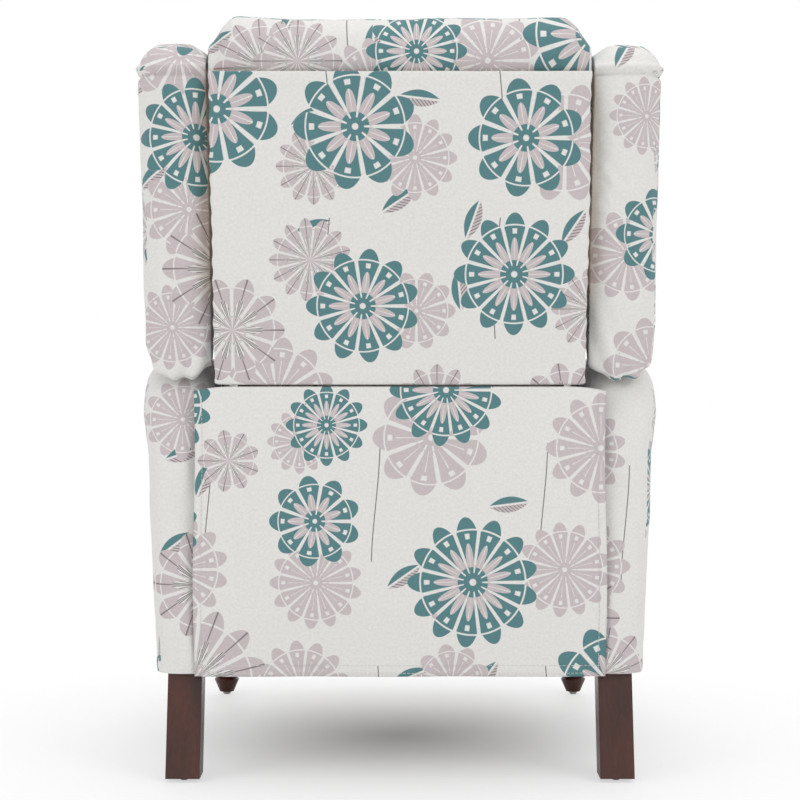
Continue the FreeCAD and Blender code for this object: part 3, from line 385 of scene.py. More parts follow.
def grain_group():
    """Long pores and bands of a straight-grained wood, running along Z."""
    group, start, end = new_group(
        "Wood Grain",
        (("Place", "NodeSocketVector", None), ("Fineness", "NodeSocketFloat", 90.0)),
        (("Band", "NodeSocketFloat"), ("Pore", "NodeSocketFloat")))
    tree = group
    stretch = tree.nodes.new("ShaderNodeMapping")
    stretch.inputs["Scale"].default_value = (1.0, 1.0, 0.06)
    noodle(tree, start.outputs["Place"], stretch.inputs["Vector"])
    for label, factor in (("Band", 0.35), ("Pore", 4.0)):
        streak = noise_node(tree, stretch.outputs[0], Detail=4.0)
        noodle(tree, math_node(tree, "MULTIPLY", start.outputs["Fineness"], factor), streak.inputs["Scale"])
        noodle(tree, streak.outputs["Fac"], end.inputs[label])
    return group


def wear_group():
    """Soft blotches of handling and dust, from 0 to 1."""
    group, start, end = new_group(
        "Handling Wear",
        (("Place", "NodeSocketVector", None), ("Spread", "NodeSocketFloat", 14.0)),
        (("Amount", "NodeSocketFloat"),))
    blotch = noise_node(group, start.outputs["Place"], Detail=5.0, Roughness=0.65)
    noodle(group, start.outputs["Spread"], blotch.inputs["Scale"])
    spread = math_node(group, "MULTIPLY_ADD", blotch.outputs["Fac"], 2.2, -0.7, clamp=True)
    noodle(group, spread, end.inputs["Amount"])
    return group


# Materials

def new_material(name):
    """A material with an empty tree, its Principled shader and its output."""
    material = bpy.data.materials.new(name)
    material.use_nodes = True
    tree = material.node_tree
    tree.nodes.clear()
    shader = tree.nodes.new("ShaderNodeBsdfPrincipled")
    target = tree.nodes.new("ShaderNodeOutputMaterial")
    noodle(tree, shader.outputs[0], target.inputs["Surface"])
    return material, tree, shader


def add_bump(tree, shader, height, strength, distance):
    """A bump from a height socket."""
    bump = tree.nodes.new("ShaderNodeBump")
    bump.inputs["Strength"].default_value = strength
    bump.inputs["Distance"].default_value = distance
    noodle(tree, height, bump.inputs["Height"])
    noodle(tree, bump.outputs[0], shader.inputs["Normal"])


def surface_map(tree):
    """The piece's own map in metres along its surface."""
    node = tree.nodes.new("ShaderNodeUVMap")
    node.uv_map = "cloth"
    return node.outputs[0]


def object_place(tree):
    """The place on the object in metres."""
    return tree.nodes.new("ShaderNodeTexCoord").outputs["Object"]


def print_cloth(groups, name, shift, settings):
    """Off-white linen with teal and taupe rosettes, leaves and stems."""
    material, tree, shader = new_material(name)
    where = surface_map(tree)
    large = use_group(tree, groups["rosette"], surface=where, spacing=settings.motif,
                      size=0.96, shift=shift)
    under = use_group(tree, groups["rosette"], surface=where, spacing=settings.motif * 0.86,
                      size=0.94, shift=shift * 0.7 + 5.4)
    leaves = use_group(tree, groups["leaf"], surface=where, spacing=settings.motif * 0.6,
                       shift=shift * 1.7 + 3.1)
    weave = use_group(tree, groups["weave"], surface=where, yarn=settings.weave)
    clear = math_node(tree, "SUBTRACT", 1.0, large.outputs["Cover"])
    stem = stem_mask(tree, where, settings.motif, shift)
    colour = mix_colour(tree, both(tree, stem, clear), settings.ground, settings.line)
    for socket, ink in (("Soft", settings.taupe), ("Strong", settings.teal), ("Line", settings.line)):
        colour = mix_colour(tree, both(tree, leaves.outputs[socket], clear), colour, ink)
    colour = mix_colour(tree, both(tree, under.outputs["Cover"], clear), colour, settings.ground)
    for socket, ink in (("Strong", settings.taupe), ("Soft", settings.taupe), ("Line", settings.line)):
        colour = mix_colour(tree, both(tree, under.outputs[socket], clear), colour, ink)
    for socket, ink in (("Soft", settings.taupe), ("Strong", settings.teal), ("Line", settings.line)):
        colour = mix_colour(tree, large.outputs[socket], colour, ink)
    toned = tree.nodes.new("ShaderNodeHueSaturation")
    noodle(tree, colour, toned.inputs["Color"])
    noodle(tree, weave.outputs["Tone"], toned.inputs["Value"])
    noodle(tree, toned.outputs[0], shader.inputs["Base Color"])
    set_inputs(shader, Roughness=0.9, Sheen_Weight=0.15, Specular_ior_Level=0.2)
    add_bump(tree, shader, weave.outputs["Height"], 0.28, 0.0004)
    return material


def stem_mask(tree, where, spacing, shift):
    """Thin upright stems, slightly bent."""
    sideways, up = split(tree, where)
    sway = math_node(tree, "MULTIPLY", math_node(
        tree, "SINE", math_node(tree, "MULTIPLY", up, 17.0)), 0.006)
    across = math_node(tree, "ADD", math_node(tree, "ADD", sideways, sway), shift * 0.013)
    lane = math_node(tree, "PINGPONG", across, spacing * 0.55)
    thin = step_below(tree, lane, 0.0009, 0.0004)
    dash = math_node(tree, "GREATER_THAN", math_node(
        tree, "SINE", math_node(tree, "MULTIPLY", up, 21.0)), -0.1)
    return both(tree, thin, dash)


def stitch_thread(settings):
    """Off-white sewing thread with its twist."""
    material, tree, shader = new_material("stitch_thread")
    where = object_place(tree)
    twist = tree.nodes.new("ShaderNodeTexWave")
    twist.inputs["Scale"].default_value = 900.0
    noodle(tree, where, twist.inputs["Vector"])
    colour = mix_colour(tree, twist.outputs["Fac"], [c * 0.72 for c in settings.ground],
                        [c * 0.86 for c in settings.ground])
    noodle(tree, colour, shader.inputs["Base Color"])
    shader.inputs["Roughness"].default_value = 0.75
    return material


def stained_wood(groups, settings, raw=False):
    """Dark stained leg wood under satin lacquer, or the raw wood of the hidden frame."""
    name = "frame_wood" if raw else "leg_wood"
    material, tree, shader = new_material(name)
    where = object_place(tree)
    grain = use_group(tree, groups["grain"], place=where, fineness=60.0 if raw else 95.0)
    wear = use_group(tree, groups["wear"], place=where, spread=9.0)
    low, high = ((0.42, 0.28, 0.15), (0.66, 0.50, 0.31)) if raw else (settings.wood, settings.wood_glow)
    band = math_node(tree, "MULTIPLY_ADD", grain.outputs["Band"], 2.4, -0.75, clamp=True)
    colour = mix_colour(tree, band, low, high)
    pore = math_node(tree, "MULTIPLY_ADD", grain.outputs["Pore"], 3.0, -1.1, clamp=True)
    dark = mix_colour(tree, math_node(tree, "MULTIPLY", pore, 0.35), colour, [c * 0.45 for c in low])
    noodle(tree, dark, shader.inputs["Base Color"])
    rough = math_node(tree, "MULTIPLY_ADD", wear.outputs["Amount"], 0.14, 0.72 if raw else 0.27)
    noodle(tree, rough, shader.inputs["Roughness"])
    if not raw:
        set_inputs(shader, Coat_Weight=0.2, Specular_ior_Level=0.35, Coat_Roughness=0.16)
    add_bump(tree, shader, grain.outputs["Pore"], 0.12 if raw else 0.05, 0.0006)
    return material


def coated_steel(groups, name, colour, rough, metal):
    """Painted, plated or drawn steel with slight handling marks."""
    material, tree, shader = new_material(name)
    where = object_place(tree)
    wear = use_group(tree, groups["wear"], place=where, spread=38.0)
    tone = mix_colour(tree, wear.outputs["Amount"], [c * 0.8 for c in colour],
                      [min(c * 1.35 + 0.01, 1) for c in colour])
    noodle(tree, tone, shader.inputs["Base Color"])
    noodle(tree, math_node(tree, "MULTIPLY_ADD", wear.outputs["Amount"], 0.18, rough),
           shader.inputs["Roughness"])
    shader.inputs["Metallic"].default_value = metal
    fine = noise_node(tree, where, Scale=900.0)
    add_bump(tree, shader, fine.outputs["Fac"], 0.08, 0.0002)
    return material


def moulded_plastic(groups, name, colour):
    """Moulded plastic of a glide, scuffed underneath."""
    material, tree, shader = new_material(name)
    where = object_place(tree)
    wear = use_group(tree, groups["wear"], place=where, spread=120.0)
    tone = mix_colour(tree, wear.outputs["Amount"], colour, [c * 0.72 for c in colour])
    noodle(tree, tone, shader.inputs["Base Color"])
    shader.inputs["Roughness"].default_value = 0.48
    add_bump(tree, shader, wear.outputs["Amount"], 0.1, 0.0003)
    return material


def lining_cloth():
    """Black non-woven cloth of the seat's deck."""
    material, tree, shader = new_material("deck_lining")
    felt = noise_node(tree, object_place(tree), Scale=700.0, Detail=5.0)
    tone = mix_colour(tree, felt.outputs["Fac"], (0.012, 0.012, 0.013), (0.05, 0.05, 0.052))
    noodle(tree, tone, shader.inputs["Base Color"])
    shader.inputs["Roughness"].default_value = 0.95
    add_bump(tree, shader, felt.outputs["Fac"], 0.3, 0.0006)
    return material


def ply_board(groups):
    """Plywood of the footrest's board, with its thin plies."""
    material, tree, shader = new_material("ply_board")
    where = object_place(tree)
    grain = use_group(tree, groups["grain"], place=where, fineness=45.0)
    colour = mix_colour(tree, grain.outputs["Band"], (0.46, 0.32, 0.18), (0.68, 0.53, 0.34))
    noodle(tree, colour, shader.inputs["Base Color"])
    shader.inputs["Roughness"].default_value = 0.7
    add_bump(tree, shader, grain.outputs["Pore"], 0.12, 0.0005)
    return material


FINISHES = {}


def make_finishes(scene):
    """Every group and material of the chair."""
    groups = {"rosette": rosette_group(), "leaf": leaf_group(), "weave": weave_group(),
              "grain": grain_group(), "wear": wear_group()}
    cloth = scene.recliner_cloth
    finish = scene.recliner_finish
    for index, piece in enumerate(("arm_left", "arm_right", "wing_left", "wing_right", "back",
                                   "roll", "flap", "inside", "seat", "footrest")):
        FINISHES[piece] = print_cloth(groups, f"printed_linen_{piece}", index * 2.37 + 0.6, cloth)
    FINISHES["thread"] = stitch_thread(cloth)
    FINISHES["dark_wood"] = stained_wood(groups, finish)
    FINISHES["frame_wood"] = stained_wood(groups, finish, raw=True)
    FINISHES["ply"] = ply_board(groups)
    FINISHES["black_steel"] = coated_steel(groups, "mechanism_paint", finish.steel, 0.36, 0.0)
    FINISHES["zinc_steel"] = coated_steel(groups, "zinc_plate", (0.52, 0.53, 0.55), 0.34, 1.0)
    FINISHES["spring_steel"] = coated_steel(groups, "spring_wire", (0.34, 0.33, 0.32), 0.4, 1.0)
    FINISHES["nail_steel"] = coated_steel(groups, "nail_glide", (0.09, 0.075, 0.065), 0.42, 1.0)
    FINISHES["pale_plastic"] = moulded_plastic(groups, "pale_glide", (0.62, 0.61, 0.59))
    FINISHES["deck_cloth"] = lining_cloth()


# Mesh helpers

def in_scene(name, data):
    """A new object at the origin that shows the data."""
    piece = bpy.data.objects.new(name, data)
    bpy.context.scene.collection.objects.link(piece)
    return piece


def mesh_object(name, verts, faces):
    """A new mesh object at the origin."""
    mesh = bpy.data.meshes.new(name)
    mesh.from_pydata([tuple(v) for v in verts], [], faces)
    mesh.validate()
    mesh.update()
    return in_scene(name, mesh)


def copy_of_node(node, name):
    """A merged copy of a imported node's mesh."""
    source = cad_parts[node]
    mesh = bpy.data.meshes.new(name)
    build = bmesh.new()
    build.from_mesh(source.data)
    build.transform(source.matrix_world)
    bmesh.ops.remove_doubles(build, verts=build.verts, dist=1e-5)
    bmesh.ops.recalc_face_normals(build, faces=build.faces)
    build.to_mesh(mesh)
    build.free()
    return in_scene(name, mesh)


def apply_modifiers(piece):
    """Turn a piece and its modifiers into one plain mesh."""
    depsgraph = bpy.context.evaluated_depsgraph_get()
    shaped = bpy.data.meshes.new_from_object(piece.evaluated_get(depsgraph))
    piece.modifiers.clear()
    old = piece.data
    piece.data = shaped
    bpy.data.meshes.remove(old)


def remesh(piece, size):
    """An even skin over a closed shape."""
    skin = piece.modifiers.new("skin", "REMESH")
    skin.mode = "VOXEL"
    skin.voxel_size = size
    apply_modifiers(piece)


def relax(piece, rounds):
    """Even out the steps that a remesh leaves."""
    calm = piece.modifiers.new("calm", "SMOOTH")
    calm.iterations = rounds
    calm.factor = 0.5
    apply_modifiers(piece)


def subdivide(piece):
    """Finish a piece with a subdivision surface."""
    finer = piece.modifiers.new("finer", "SUBSURF")
    finer.levels = finer.render_levels = 1
    apply_modifiers(piece)
    piece.data.polygons.foreach_set("use_smooth", [True] * len(piece.data.polygons))


def places(piece):
    """The vertices as an array."""
    spots = np.empty(len(piece.data.vertices) * 3)
    piece.data.vertices.foreach_get("co", spots)
    return spots.reshape(-1, 3)


def put_places(piece, spots):
    """Write the vertices back."""
    piece.data.vertices.foreach_set("co", np.ascontiguousarray(spots).ravel())
    piece.data.update()


def normals_of(piece):
    """The vertex normals as an array."""
    out = np.empty(len(piece.data.vertices) * 3)
    piece.data.vertex_normals.foreach_get("vector", out)
    return out.reshape(-1, 3)


def draw_in(piece, depth):
    """Move the skin inwards, so that a swelling pad ends at its size."""
    put_places(piece, places(piece) - normals_of(piece) * depth)


def extend_face(piece, spot, facing, reach):
    """Move one flat face outwards, so that its rims stay crisp once it is trimmed back."""
    spots = places(piece)
    facing = np.array(facing) / np.linalg.norm(facing)
    near = (spots - np.array(spot)) @ facing > -FLAT_WITHIN
    spots[near] += facing * reach
    put_places(piece, spots)


def trim_face(piece, spot, facing):
    """Bring every point that stands past a plane back onto it."""
    spots = places(piece)
    facing = np.array(facing) / np.linalg.norm(facing)
    over = np.maximum((spots - np.array(spot)) @ facing, 0)
    put_places(piece, spots - over[:, None] * facing)


def swell(piece, settings, cap, pressure=None):
    """Simulate the piece as a cloth skin under air pressure, with a cap on its movement."""
    start = places(piece)
    cloth = piece.modifiers.new("swell", "CLOTH")
    cloth.settings.use_pressure = True
    cloth.settings.uniform_pressure_force = pressure or settings.pressure
    cloth.settings.effector_weights.gravity = 0
    cloth.settings.quality = 5
    cloth.settings.tension_stiffness = 18
    cloth.settings.bending_stiffness = 0.8
    cloth.point_cache.frame_start = 1
    cloth.point_cache.frame_end = settings.steps
    for step in range(1, settings.steps + 1):
        bpy.context.scene.frame_set(step)
    apply_modifiers(piece)
    bpy.context.scene.frame_set(1)
    moved = places(piece) - start
    far = np.linalg.norm(moved, axis=1, keepdims=True)
    scale = np.where(far > cap, cap / np.maximum(far, 1e-9), 1.0)
    put_places(piece, start + moved * scale)


def ripple(piece, depth, size, seed, where=None):
    """Faint irregular waves of slack cloth, held inside the piece's own skin."""
    spots = places(piece)
    push = normals_of(piece)
    offset = Vector((seed * 7.3, seed * 3.1, seed * 5.7))
    for index, spot in enumerate(spots):
        amount = noise.fractal(Vector(spot) / size + offset, 1.0, 2.0, 3)
        weight = 1.0 if where is None else where(spot)
        spots[index] = spot + push[index] * (depth * (amount * 0.5 - 0.25) * weight)
    put_places(piece, spots)


def keep_inside(piece, low, high):
    """Hold every point inside a box."""
    put_places(piece, np.clip(places(piece), low, high))


def lay_cloth_map(piece, origin=(0, 0, 0)):
    """A map in metres: each face takes the plane that it faces most, and front and rear win ties."""
    mesh = piece.data
    layer = mesh.uv_layers.get("cloth") or mesh.uv_layers.new(name="cloth")
    spots = places(piece) - np.array(origin)
    facing = np.empty(len(mesh.polygons) * 3)
    mesh.polygons.foreach_get("normal", facing)
    main = np.argmax(np.abs(facing.reshape(-1, 3)) * (0.7, 1.4, 0.7), axis=1)
    counts = np.empty(len(mesh.polygons), dtype=np.int32)
    mesh.polygons.foreach_get("loop_total", counts)
    corners = np.empty(len(mesh.loops), dtype=np.int32)
    mesh.loops.foreach_get("vertex_index", corners)
    side = np.repeat(main, counts)
    spots = spots[corners]
    first = np.where(side == 0, spots[:, 1], spots[:, 0])
    second = np.where(side == 2, spots[:, 1], spots[:, 2])
    layer.data.foreach_set("uv", np.column_stack((first, second)).ravel())


def dress(piece, finish, slot, body, *nodes):
    """Give a piece its finish, its body and the nodes that it replaces; the slot is not used."""
    piece.data.materials.clear()
    piece.data.materials.append(FINISHES[finish])
    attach(piece, body)
    if nodes:
        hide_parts(*nodes)


# Shapes of the upholstery

def slab(name, outline, near, far, soft, rows=5):
    """A closed pad: an outline in the side view carried across X, with rounded rims."""
    count = len(outline)
    flat = [Vector((y, z)) for y, z in outline]
    area = sum(a.x * b.y - b.x * a.y for a, b in zip(flat, flat[1:] + flat[:1]))
    turn = 1 if area > 0 else -1
    inward = []
    for index in range(count):
        along = flat[(index + 1) % count] - flat[index - 1]
        inward.append(Vector((-along.y, along.x)).normalized() * turn)
    first = [(near + soft * (1 - math.cos(a)), soft * (1 - math.sin(a)))
             for a in (k / rows * math.pi / 2 for k in range(rows + 1))]
    last = [(far - (x - near), depth) for x, depth in reversed(first)]
    verts, faces = [], []
    for x, depth in first + last:
        for spot, normal in zip(flat, inward):
            moved = spot + normal * depth
            verts.append((x, moved.x, moved.y))
    for row in range(len(first) + len(last) - 1):
        for index in range(count):
            a = row * count + index
            b = row * count + (index + 1) % count
            faces.append((a, b, b + count, a + count))
    faces.append(tuple(range(count)))
    top = (len(first) + len(last) - 1) * count
    faces.append(tuple(range(top, top + count)))
    piece = mesh_object(name, verts, faces)
    build = bmesh.new()
    build.from_mesh(piece.data)
    bmesh.ops.recalc_face_normals(build, faces=build.faces)
    build.to_mesh(piece.data)
    build.free()
    return piece


def arc_points(centre, radius, start, end, count):
    """Points on an arc in the side view, with angles in degrees."""
    return [(centre[0] + radius * math.cos(math.radians(start + (end - start) * k / count)),
             centre[1] + radius * math.sin(math.radians(start + (end - start) * k / count)))
            for k in range(count + 1)]


def arm_outline(low, high):
    """The arm's side view: upright front with a rounded brow, long round behind."""
    front, rear, floor, top = low.y, high.y, low.z, high.z
    brow, back_round = 0.042, 0.100
    foot = 0.008
    outline = arc_points((front + foot, floor + foot), foot, 270, 180, 4)
    outline += arc_points((front + brow, top - brow), brow, 180, 90, 10)
    outline += arc_points((rear - back_round, top - back_round), back_round, 90, 0, 18)
    outline += arc_points((rear - foot, floor + foot), foot, 0, -90, 4)
    return outline


def make_arm(side_name, side, settings):
    """A padded arm: full on top, its rear panel pulled tight over the frame."""
    node = f"arm_cover_{side_name}"
    low, high = (Vector(corner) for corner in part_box(node))
    outline = arm_outline(low - Vector((0, 0, 0.028)), high)
    piece = slab(f"arm_{side_name}", outline, low.x + 0.001, high.x - 0.001, 0.027, 6)
    remesh(piece, CLOTH_SIZE)
    relax(piece, 4)
    swell(piece, settings, cap=0.004, pressure=3.0)
    relax(piece, 2)
    shape_arm(piece, low, high, side)
    ripple(piece, 0.0035, 0.16, 1 if side > 0 else 2,
           lambda spot: 1.0 if spot[2] > low.z + 0.06 else 0.3)
    trim_face(piece, (0, 0, low.z - 0.002), (0, 0, -1))
    keep_inside(piece, (low.x if side > 0 else low.x - 0.008, low.y - 0.003, low.z - 0.002),
                (high.x + 0.008 if side > 0 else high.x, high.y + 0.002, high.z + 0.006))
    subdivide(piece)
    lay_cloth_map(piece, (side * 0.04, 0, side * 0.03))
    dress(piece, f"arm_{side_name}", "printed_cloth", "base", node)
    return piece


def shape_arm(piece, low, high, side):
    """Bulge of the arm's top outside the wing, and the slight taper down its outer side."""
    spots = places(piece)
    for spot in spots:
        rise = (spot[2] - low.z) / (high.z - low.z)
        outer = (spot[0] - low.x) / (high.x - low.x)
        outer = outer if side > 0 else 1 - outer
        taper = 0.012 * max(0.0, 0.55 - rise) ** 1.1 / 0.55 ** 1.1
        spot[0] -= side * taper * outer
        bulge = math.exp(-((rise - 0.86) / 0.13) ** 2)
        spot[0] += side * 0.009 * bulge * outer
    put_places(piece, spots)


def make_wing(side_name, side, settings):
    """A padded wing with its domed cap, the welt line under the cap and folds at its foot."""
    node = f"wing_{side_name}"
    low, high = (Vector(corner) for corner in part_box(node))
    piece = copy_of_node(node, node + "_pad")
    inner = (low.x + PLAY if side > 0 else high.x - PLAY, 0, 0)
    extend_face(piece, inner, (-side, 0, 0), 0.014)
    extend_face(piece, low, (0, 0, -1), 0.006)
    remesh(piece, CLOTH_SIZE)
    relax(piece, 4)
    draw_in(piece, 0.004)
    swell(piece, settings, cap=0.0055)
    relax(piece, 2)
    ripple(piece, 0.004, 0.12, 4 if side > 0 else 5)
    subdivide(piece)
    sew_wing_cap(piece, side, low, high)
    keep_inside(piece, low - Vector((0.002, 0.002, 0)), high + Vector((0.002, 0.003, 0.004)))
    trim_face(piece, inner, (-side, 0, 0))
    lay_cloth_map(piece, (side * 0.07, 0, side * 0.05))
    dress(piece, node, "printed_cloth", "back", node)
    return piece


def sew_wing_cap(piece, side, low, high):
    """The welt under the wing's cap, the cloth drawn in below it, and the folds at the wing's foot."""
    spots = places(piece)
    push = normals_of(piece)
    up = spots[:, 2]
    groove = np.exp(-((up - SEAM_Z) / 0.0032) ** 2)
    ridge = np.exp(-((up - SEAM_Z - 0.0075) / 0.0045) ** 2)
    cap = np.where(up > SEAM_Z, 0.0018, 0.0)
    pull = np.exp(-np.maximum(up - low.z - 0.01, 0) / 0.05)
    across = (spots[:, 0] - (low.x + high.x) / 2) / (high.x - low.x)
    fold = np.sin(across * 21 + up * 70 * side) * 0.0022 * pull
    put_places(piece, spots + push * (0.0042 * ridge - 0.0052 * groove + cap + fold)[:, None])


def make_outer_back():
    """The taut outer back: a thin pad that crowns a little, with drawn side seams."""
    low, high = (Vector(corner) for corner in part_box("back_panel"))
    piece = copy_of_node("back_panel", "outer_back")
    seam = (0, high.y, high.z - 0.0022)
    up = (0, math.sin(BACK_RAKE), math.cos(BACK_RAKE))
    extend_face(piece, seam, up, 0.006)
    remesh(piece, CLOTH_SIZE)
    relax(piece, 2)
    ripple(piece, 0.0032, 0.15, 8, lambda spot: 1.0 if low.z + 0.02 < spot[2] < high.z - 0.015 else 0.2)
    spots = places(piece)
    push = normals_of(piece)
    for index, spot in enumerate(spots):
        near_top = math.exp(-((high.z - spot[2]) / 0.05) ** 2)
        pull = math.sin(spot[0] * 95) * 0.0006 * near_top
        edge = math.exp(-((abs(spot[0]) - high.x) / 0.012) ** 2)
        if push[index][1] > 0.5:
            spots[index] = spot + push[index] * (pull - 0.0022 * edge)
    spots[:, 2] = np.maximum(spots[:, 2], low.z)
    put_places(piece, spots)
    subdivide(piece)
    trim_face(piece, (0, high.y, SEAM_Z + 0.001), up)
    lay_cloth_map(piece)
    dress(piece, "back", "printed_cloth", "back", "back_panel")
    return piece


def make_roll(settings):
    """The padded roll over the top, full at its shoulders and a little slack between."""
    node = "headrest_roll"
    low, high = (Vector(corner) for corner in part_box(node))
    piece = copy_of_node(node, "head_roll")
    seam = (0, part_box("back_panel")[1][1], low.z + 0.0002)
    down = (0, -math.sin(BACK_RAKE), -math.cos(BACK_RAKE))
    extend_face(piece, seam, down, 0.014)
    for side in (-1, 1):
        extend_face(piece, (side * high.x, 0, 0), (side, 0, 0), 0.008)
    remesh(piece, CLOTH_SIZE)
    relax(piece, 4)
    draw_in(piece, 0.005)
    swell(piece, settings, cap=0.007, pressure=5.0)
    relax(piece, 2)
    spots = places(piece)
    for spot in spots:
        shoulder = math.exp(-((abs(spot[0]) - high.x * 0.86) / 0.05) ** 2)
        rise = max(0.0, (spot[2] - low.z) / (high.z - low.z))
        spot[2] += (0.003 * shoulder - 0.002) * rise
    put_places(piece, spots)
    ripple(piece, 0.005, 0.13, 11)
    keep_inside(piece, low - Vector((-PLAY, 0.004, 0)), high + Vector((-PLAY, 0.003, 0.003)))
    trim_face(piece, seam, down)
    subdivide(piece)
    lay_cloth_map(piece)
    dress(piece, "roll", "printed_cloth", "back", node)
    return piece


def make_pad(node, name, body, finish, seed, settings, cap):
    """A loose pad of the seat, back or footrest, crowned and rounded at its rim."""
    low, high = (Vector(corner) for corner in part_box(node))
    piece = copy_of_node(node, name)
    remesh(piece, CLOTH_SIZE)
    relax(piece, 5)
    draw_in(piece, 0.008)
    swell(piece, settings, cap=cap)
    relax(piece, 2)
    ripple(piece, 0.006, 0.15, seed)
    keep_inside(piece, (low.x, low.y - 0.012, low.z), (high.x, high.y, high.z + 0.012))
    subdivide(piece)
    lay_cloth_map(piece)
    dress(piece, finish, "printed_cloth", body, node)
    return piece


# The loose flap

def flap_place(across, down, box):
    """A point of the hanging flap: nearly flat, slack at its top corners, waving a little."""
    low, high = box
    half = (high.x - low.x) / 2
    x = across * half
    top, tall = high.z, high.z - low.z
    z = top - down * tall
    middle = (low.y + high.y) / 2
    wave = (noise.noise(Vector((x * 9, z * 3.2, 4.0))) * 0.0022
            + math.sin(x * 31 + 0.8) * 0.0011 * down)
    edge = max(0.0, abs(across) - 0.82) / 0.18
    pucker = math.exp(-(down * tall / 0.045) ** 2) * edge
    y = middle + wave * (0.25 + 0.75 * min(down * 4, 1)) - 0.0016 * pucker * math.sin(down * 60 + x * 90)
    sag = edge ** 2 * math.exp(-(down * tall / 0.02) ** 2) * 0.006
    curl = 0.0016 * edge * down
    return Vector((x - math.copysign(0.0015, x) * edge * math.sin(down * 7), y - curl, z - sag))


def make_flap():
    """The loose rear flap, sewn under the outer back's edge, with turned side and bottom hems."""
    box = tuple(Vector(corner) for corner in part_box("back_flap"))
    columns, rows = 168, 120
    verts = [flap_place(-1 + 2 * c / columns, r / rows, box)
             for r in range(rows + 1) for c in range(columns + 1)]
    faces = [(r * (columns + 1) + c, (r + 1) * (columns + 1) + c,
              (r + 1) * (columns + 1) + c + 1, r * (columns + 1) + c + 1)
             for r in range(rows) for c in range(columns)]
    piece = mesh_object("rear_flap", verts, faces)
    layer = piece.data.uv_layers.new(name="cloth")
    for face in piece.data.polygons:
        for loop in face.loop_indices:
            spot = piece.data.vertices[piece.data.loops[loop].vertex_index].co
            layer.data[loop].uv = (spot.x, spot.z)
    thick = piece.modifiers.new("thick", "SOLIDIFY")
    thick.thickness = FLAP_THICKNESS
    thick.offset = 0
    apply_modifiers(piece)
    turn_hems(piece, box)
    for face in piece.data.polygons:
        face.use_smooth = True
    dress(piece, "flap", "flap_cloth", "flap", "back_flap")
    return piece


def turn_hems(piece, box):
    """Thicken the turned hems, with a pressed line where each is stitched."""
    low, high = box
    spots = places(piece)
    middle = (low.y + high.y) / 2
    for spot in spots:
        bottom = spot[2] - low.z
        side = high.x - abs(spot[0])
        inside = 1.0 if bottom < 0.017 or side < 0.012 else 0.0
        press = max(math.exp(-((bottom - 0.015) / 0.0018) ** 2), math.exp(-((bottom - 0.004) / 0.0015) ** 2),
                    math.exp(-((side - SIDE_HEM_ROW) / 0.0016) ** 2))
        out = 0.0007 * inside - 0.0007 * press
        spot[1] += math.copysign(out, spot[1] - middle)
    put_places(piece, spots)


# Stitches, made by Geometry Nodes along a line

def stitch_tree():
    """Short thread stitches at even steps along a curve."""
    tree = bpy.data.node_groups.new("Stitch Row", "GeometryNodeTree")
    tree.interface.new_socket("Geometry", in_out="INPUT", socket_type="NodeSocketGeometry")
    for label, value in (("Stitch Length", 0.004), ("Gap", 0.0018), ("Thread Radius", 0.0004)):
        socket = tree.interface.new_socket(label, in_out="INPUT", socket_type="NodeSocketFloat")
        socket.default_value = value
    tree.interface.new_socket("Thread", in_out="INPUT", socket_type="NodeSocketMaterial")
    tree.interface.new_socket("Geometry", in_out="OUTPUT", socket_type="NodeSocketGeometry")
    start = tree.nodes.new("NodeGroupInput")
    end = tree.nodes.new("NodeGroupOutput")
    step = tree.nodes.new("ShaderNodeMath")
    step.operation = "ADD"
    noodle(tree, start.outputs["Stitch Length"], step.inputs[0])
    noodle(tree, start.outputs["Gap"], step.inputs[1])
    spread = tree.nodes.new("GeometryNodeCurveToPoints")
    spread.mode = "LENGTH"
    noodle(tree, start.outputs["Geometry"], spread.inputs["Curve"])
    noodle(tree, step.outputs[0], spread.inputs["Length"])
    bar = tree.nodes.new("GeometryNodeMeshCylinder")
    bar.inputs["Vertices"].default_value = 6
    noodle(tree, start.outputs["Thread Radius"], bar.inputs["Radius"])
    noodle(tree, start.outputs["Stitch Length"], bar.inputs["Depth"])
    copies = tree.nodes.new("GeometryNodeInstanceOnPoints")
    noodle(tree, spread.outputs["Points"], copies.inputs["Points"])
    noodle(tree, bar.outputs["Mesh"], copies.inputs["Instance"])
    noodle(tree, spread.outputs["Rotation"], copies.inputs["Rotation"])
    solid = tree.nodes.new("GeometryNodeRealizeInstances")
    noodle(tree, copies.outputs[0], solid.inputs[0])
    coat = tree.nodes.new("GeometryNodeSetMaterial")
    noodle(tree, solid.outputs[0], coat.inputs["Geometry"])
    noodle(tree, start.outputs["Thread"], coat.inputs["Material"])
    noodle(tree, coat.outputs[0], end.inputs[0])
    return tree


def socket_id(tree, label):
    """The identifier of a tree's named input."""
    for item in tree.interface.items_tree:
        if item.item_type == "SOCKET" and item.in_out == "INPUT" and item.name == label:
            return item.identifier
    raise ValueError(f"no input named {label}")


def stitch_rows(name, rows, body, tree, settings, slot):
    """Rows of stitches along lists of points, as one plain mesh."""
    curve = bpy.data.curves.new(name, "CURVE")
    curve.dimensions = "3D"
    for row in rows:
        line = curve.splines.new("POLY")
        line.points.add(len(row) - 1)
        for point, spot in zip(line.points, row):
            point.co = (*spot, 1)
    path = in_scene(name + "_path", curve)
    nodes = path.modifiers.new("stitches", "NODES")
    nodes.node_group = tree
    nodes[socket_id(tree, "Stitch Length")] = settings.stitch_length
    nodes[socket_id(tree, "Gap")] = settings.stitch_gap
    nodes[socket_id(tree, "Thread")] = FINISHES["thread"]
    mesh = bpy.data.meshes.new_from_object(
        path.evaluated_get(bpy.context.evaluated_depsgraph_get()))
    bpy.data.objects.remove(path)
    dress(in_scene(name, mesh), "thread", slot, body)


# Operators, one for each group of pieces

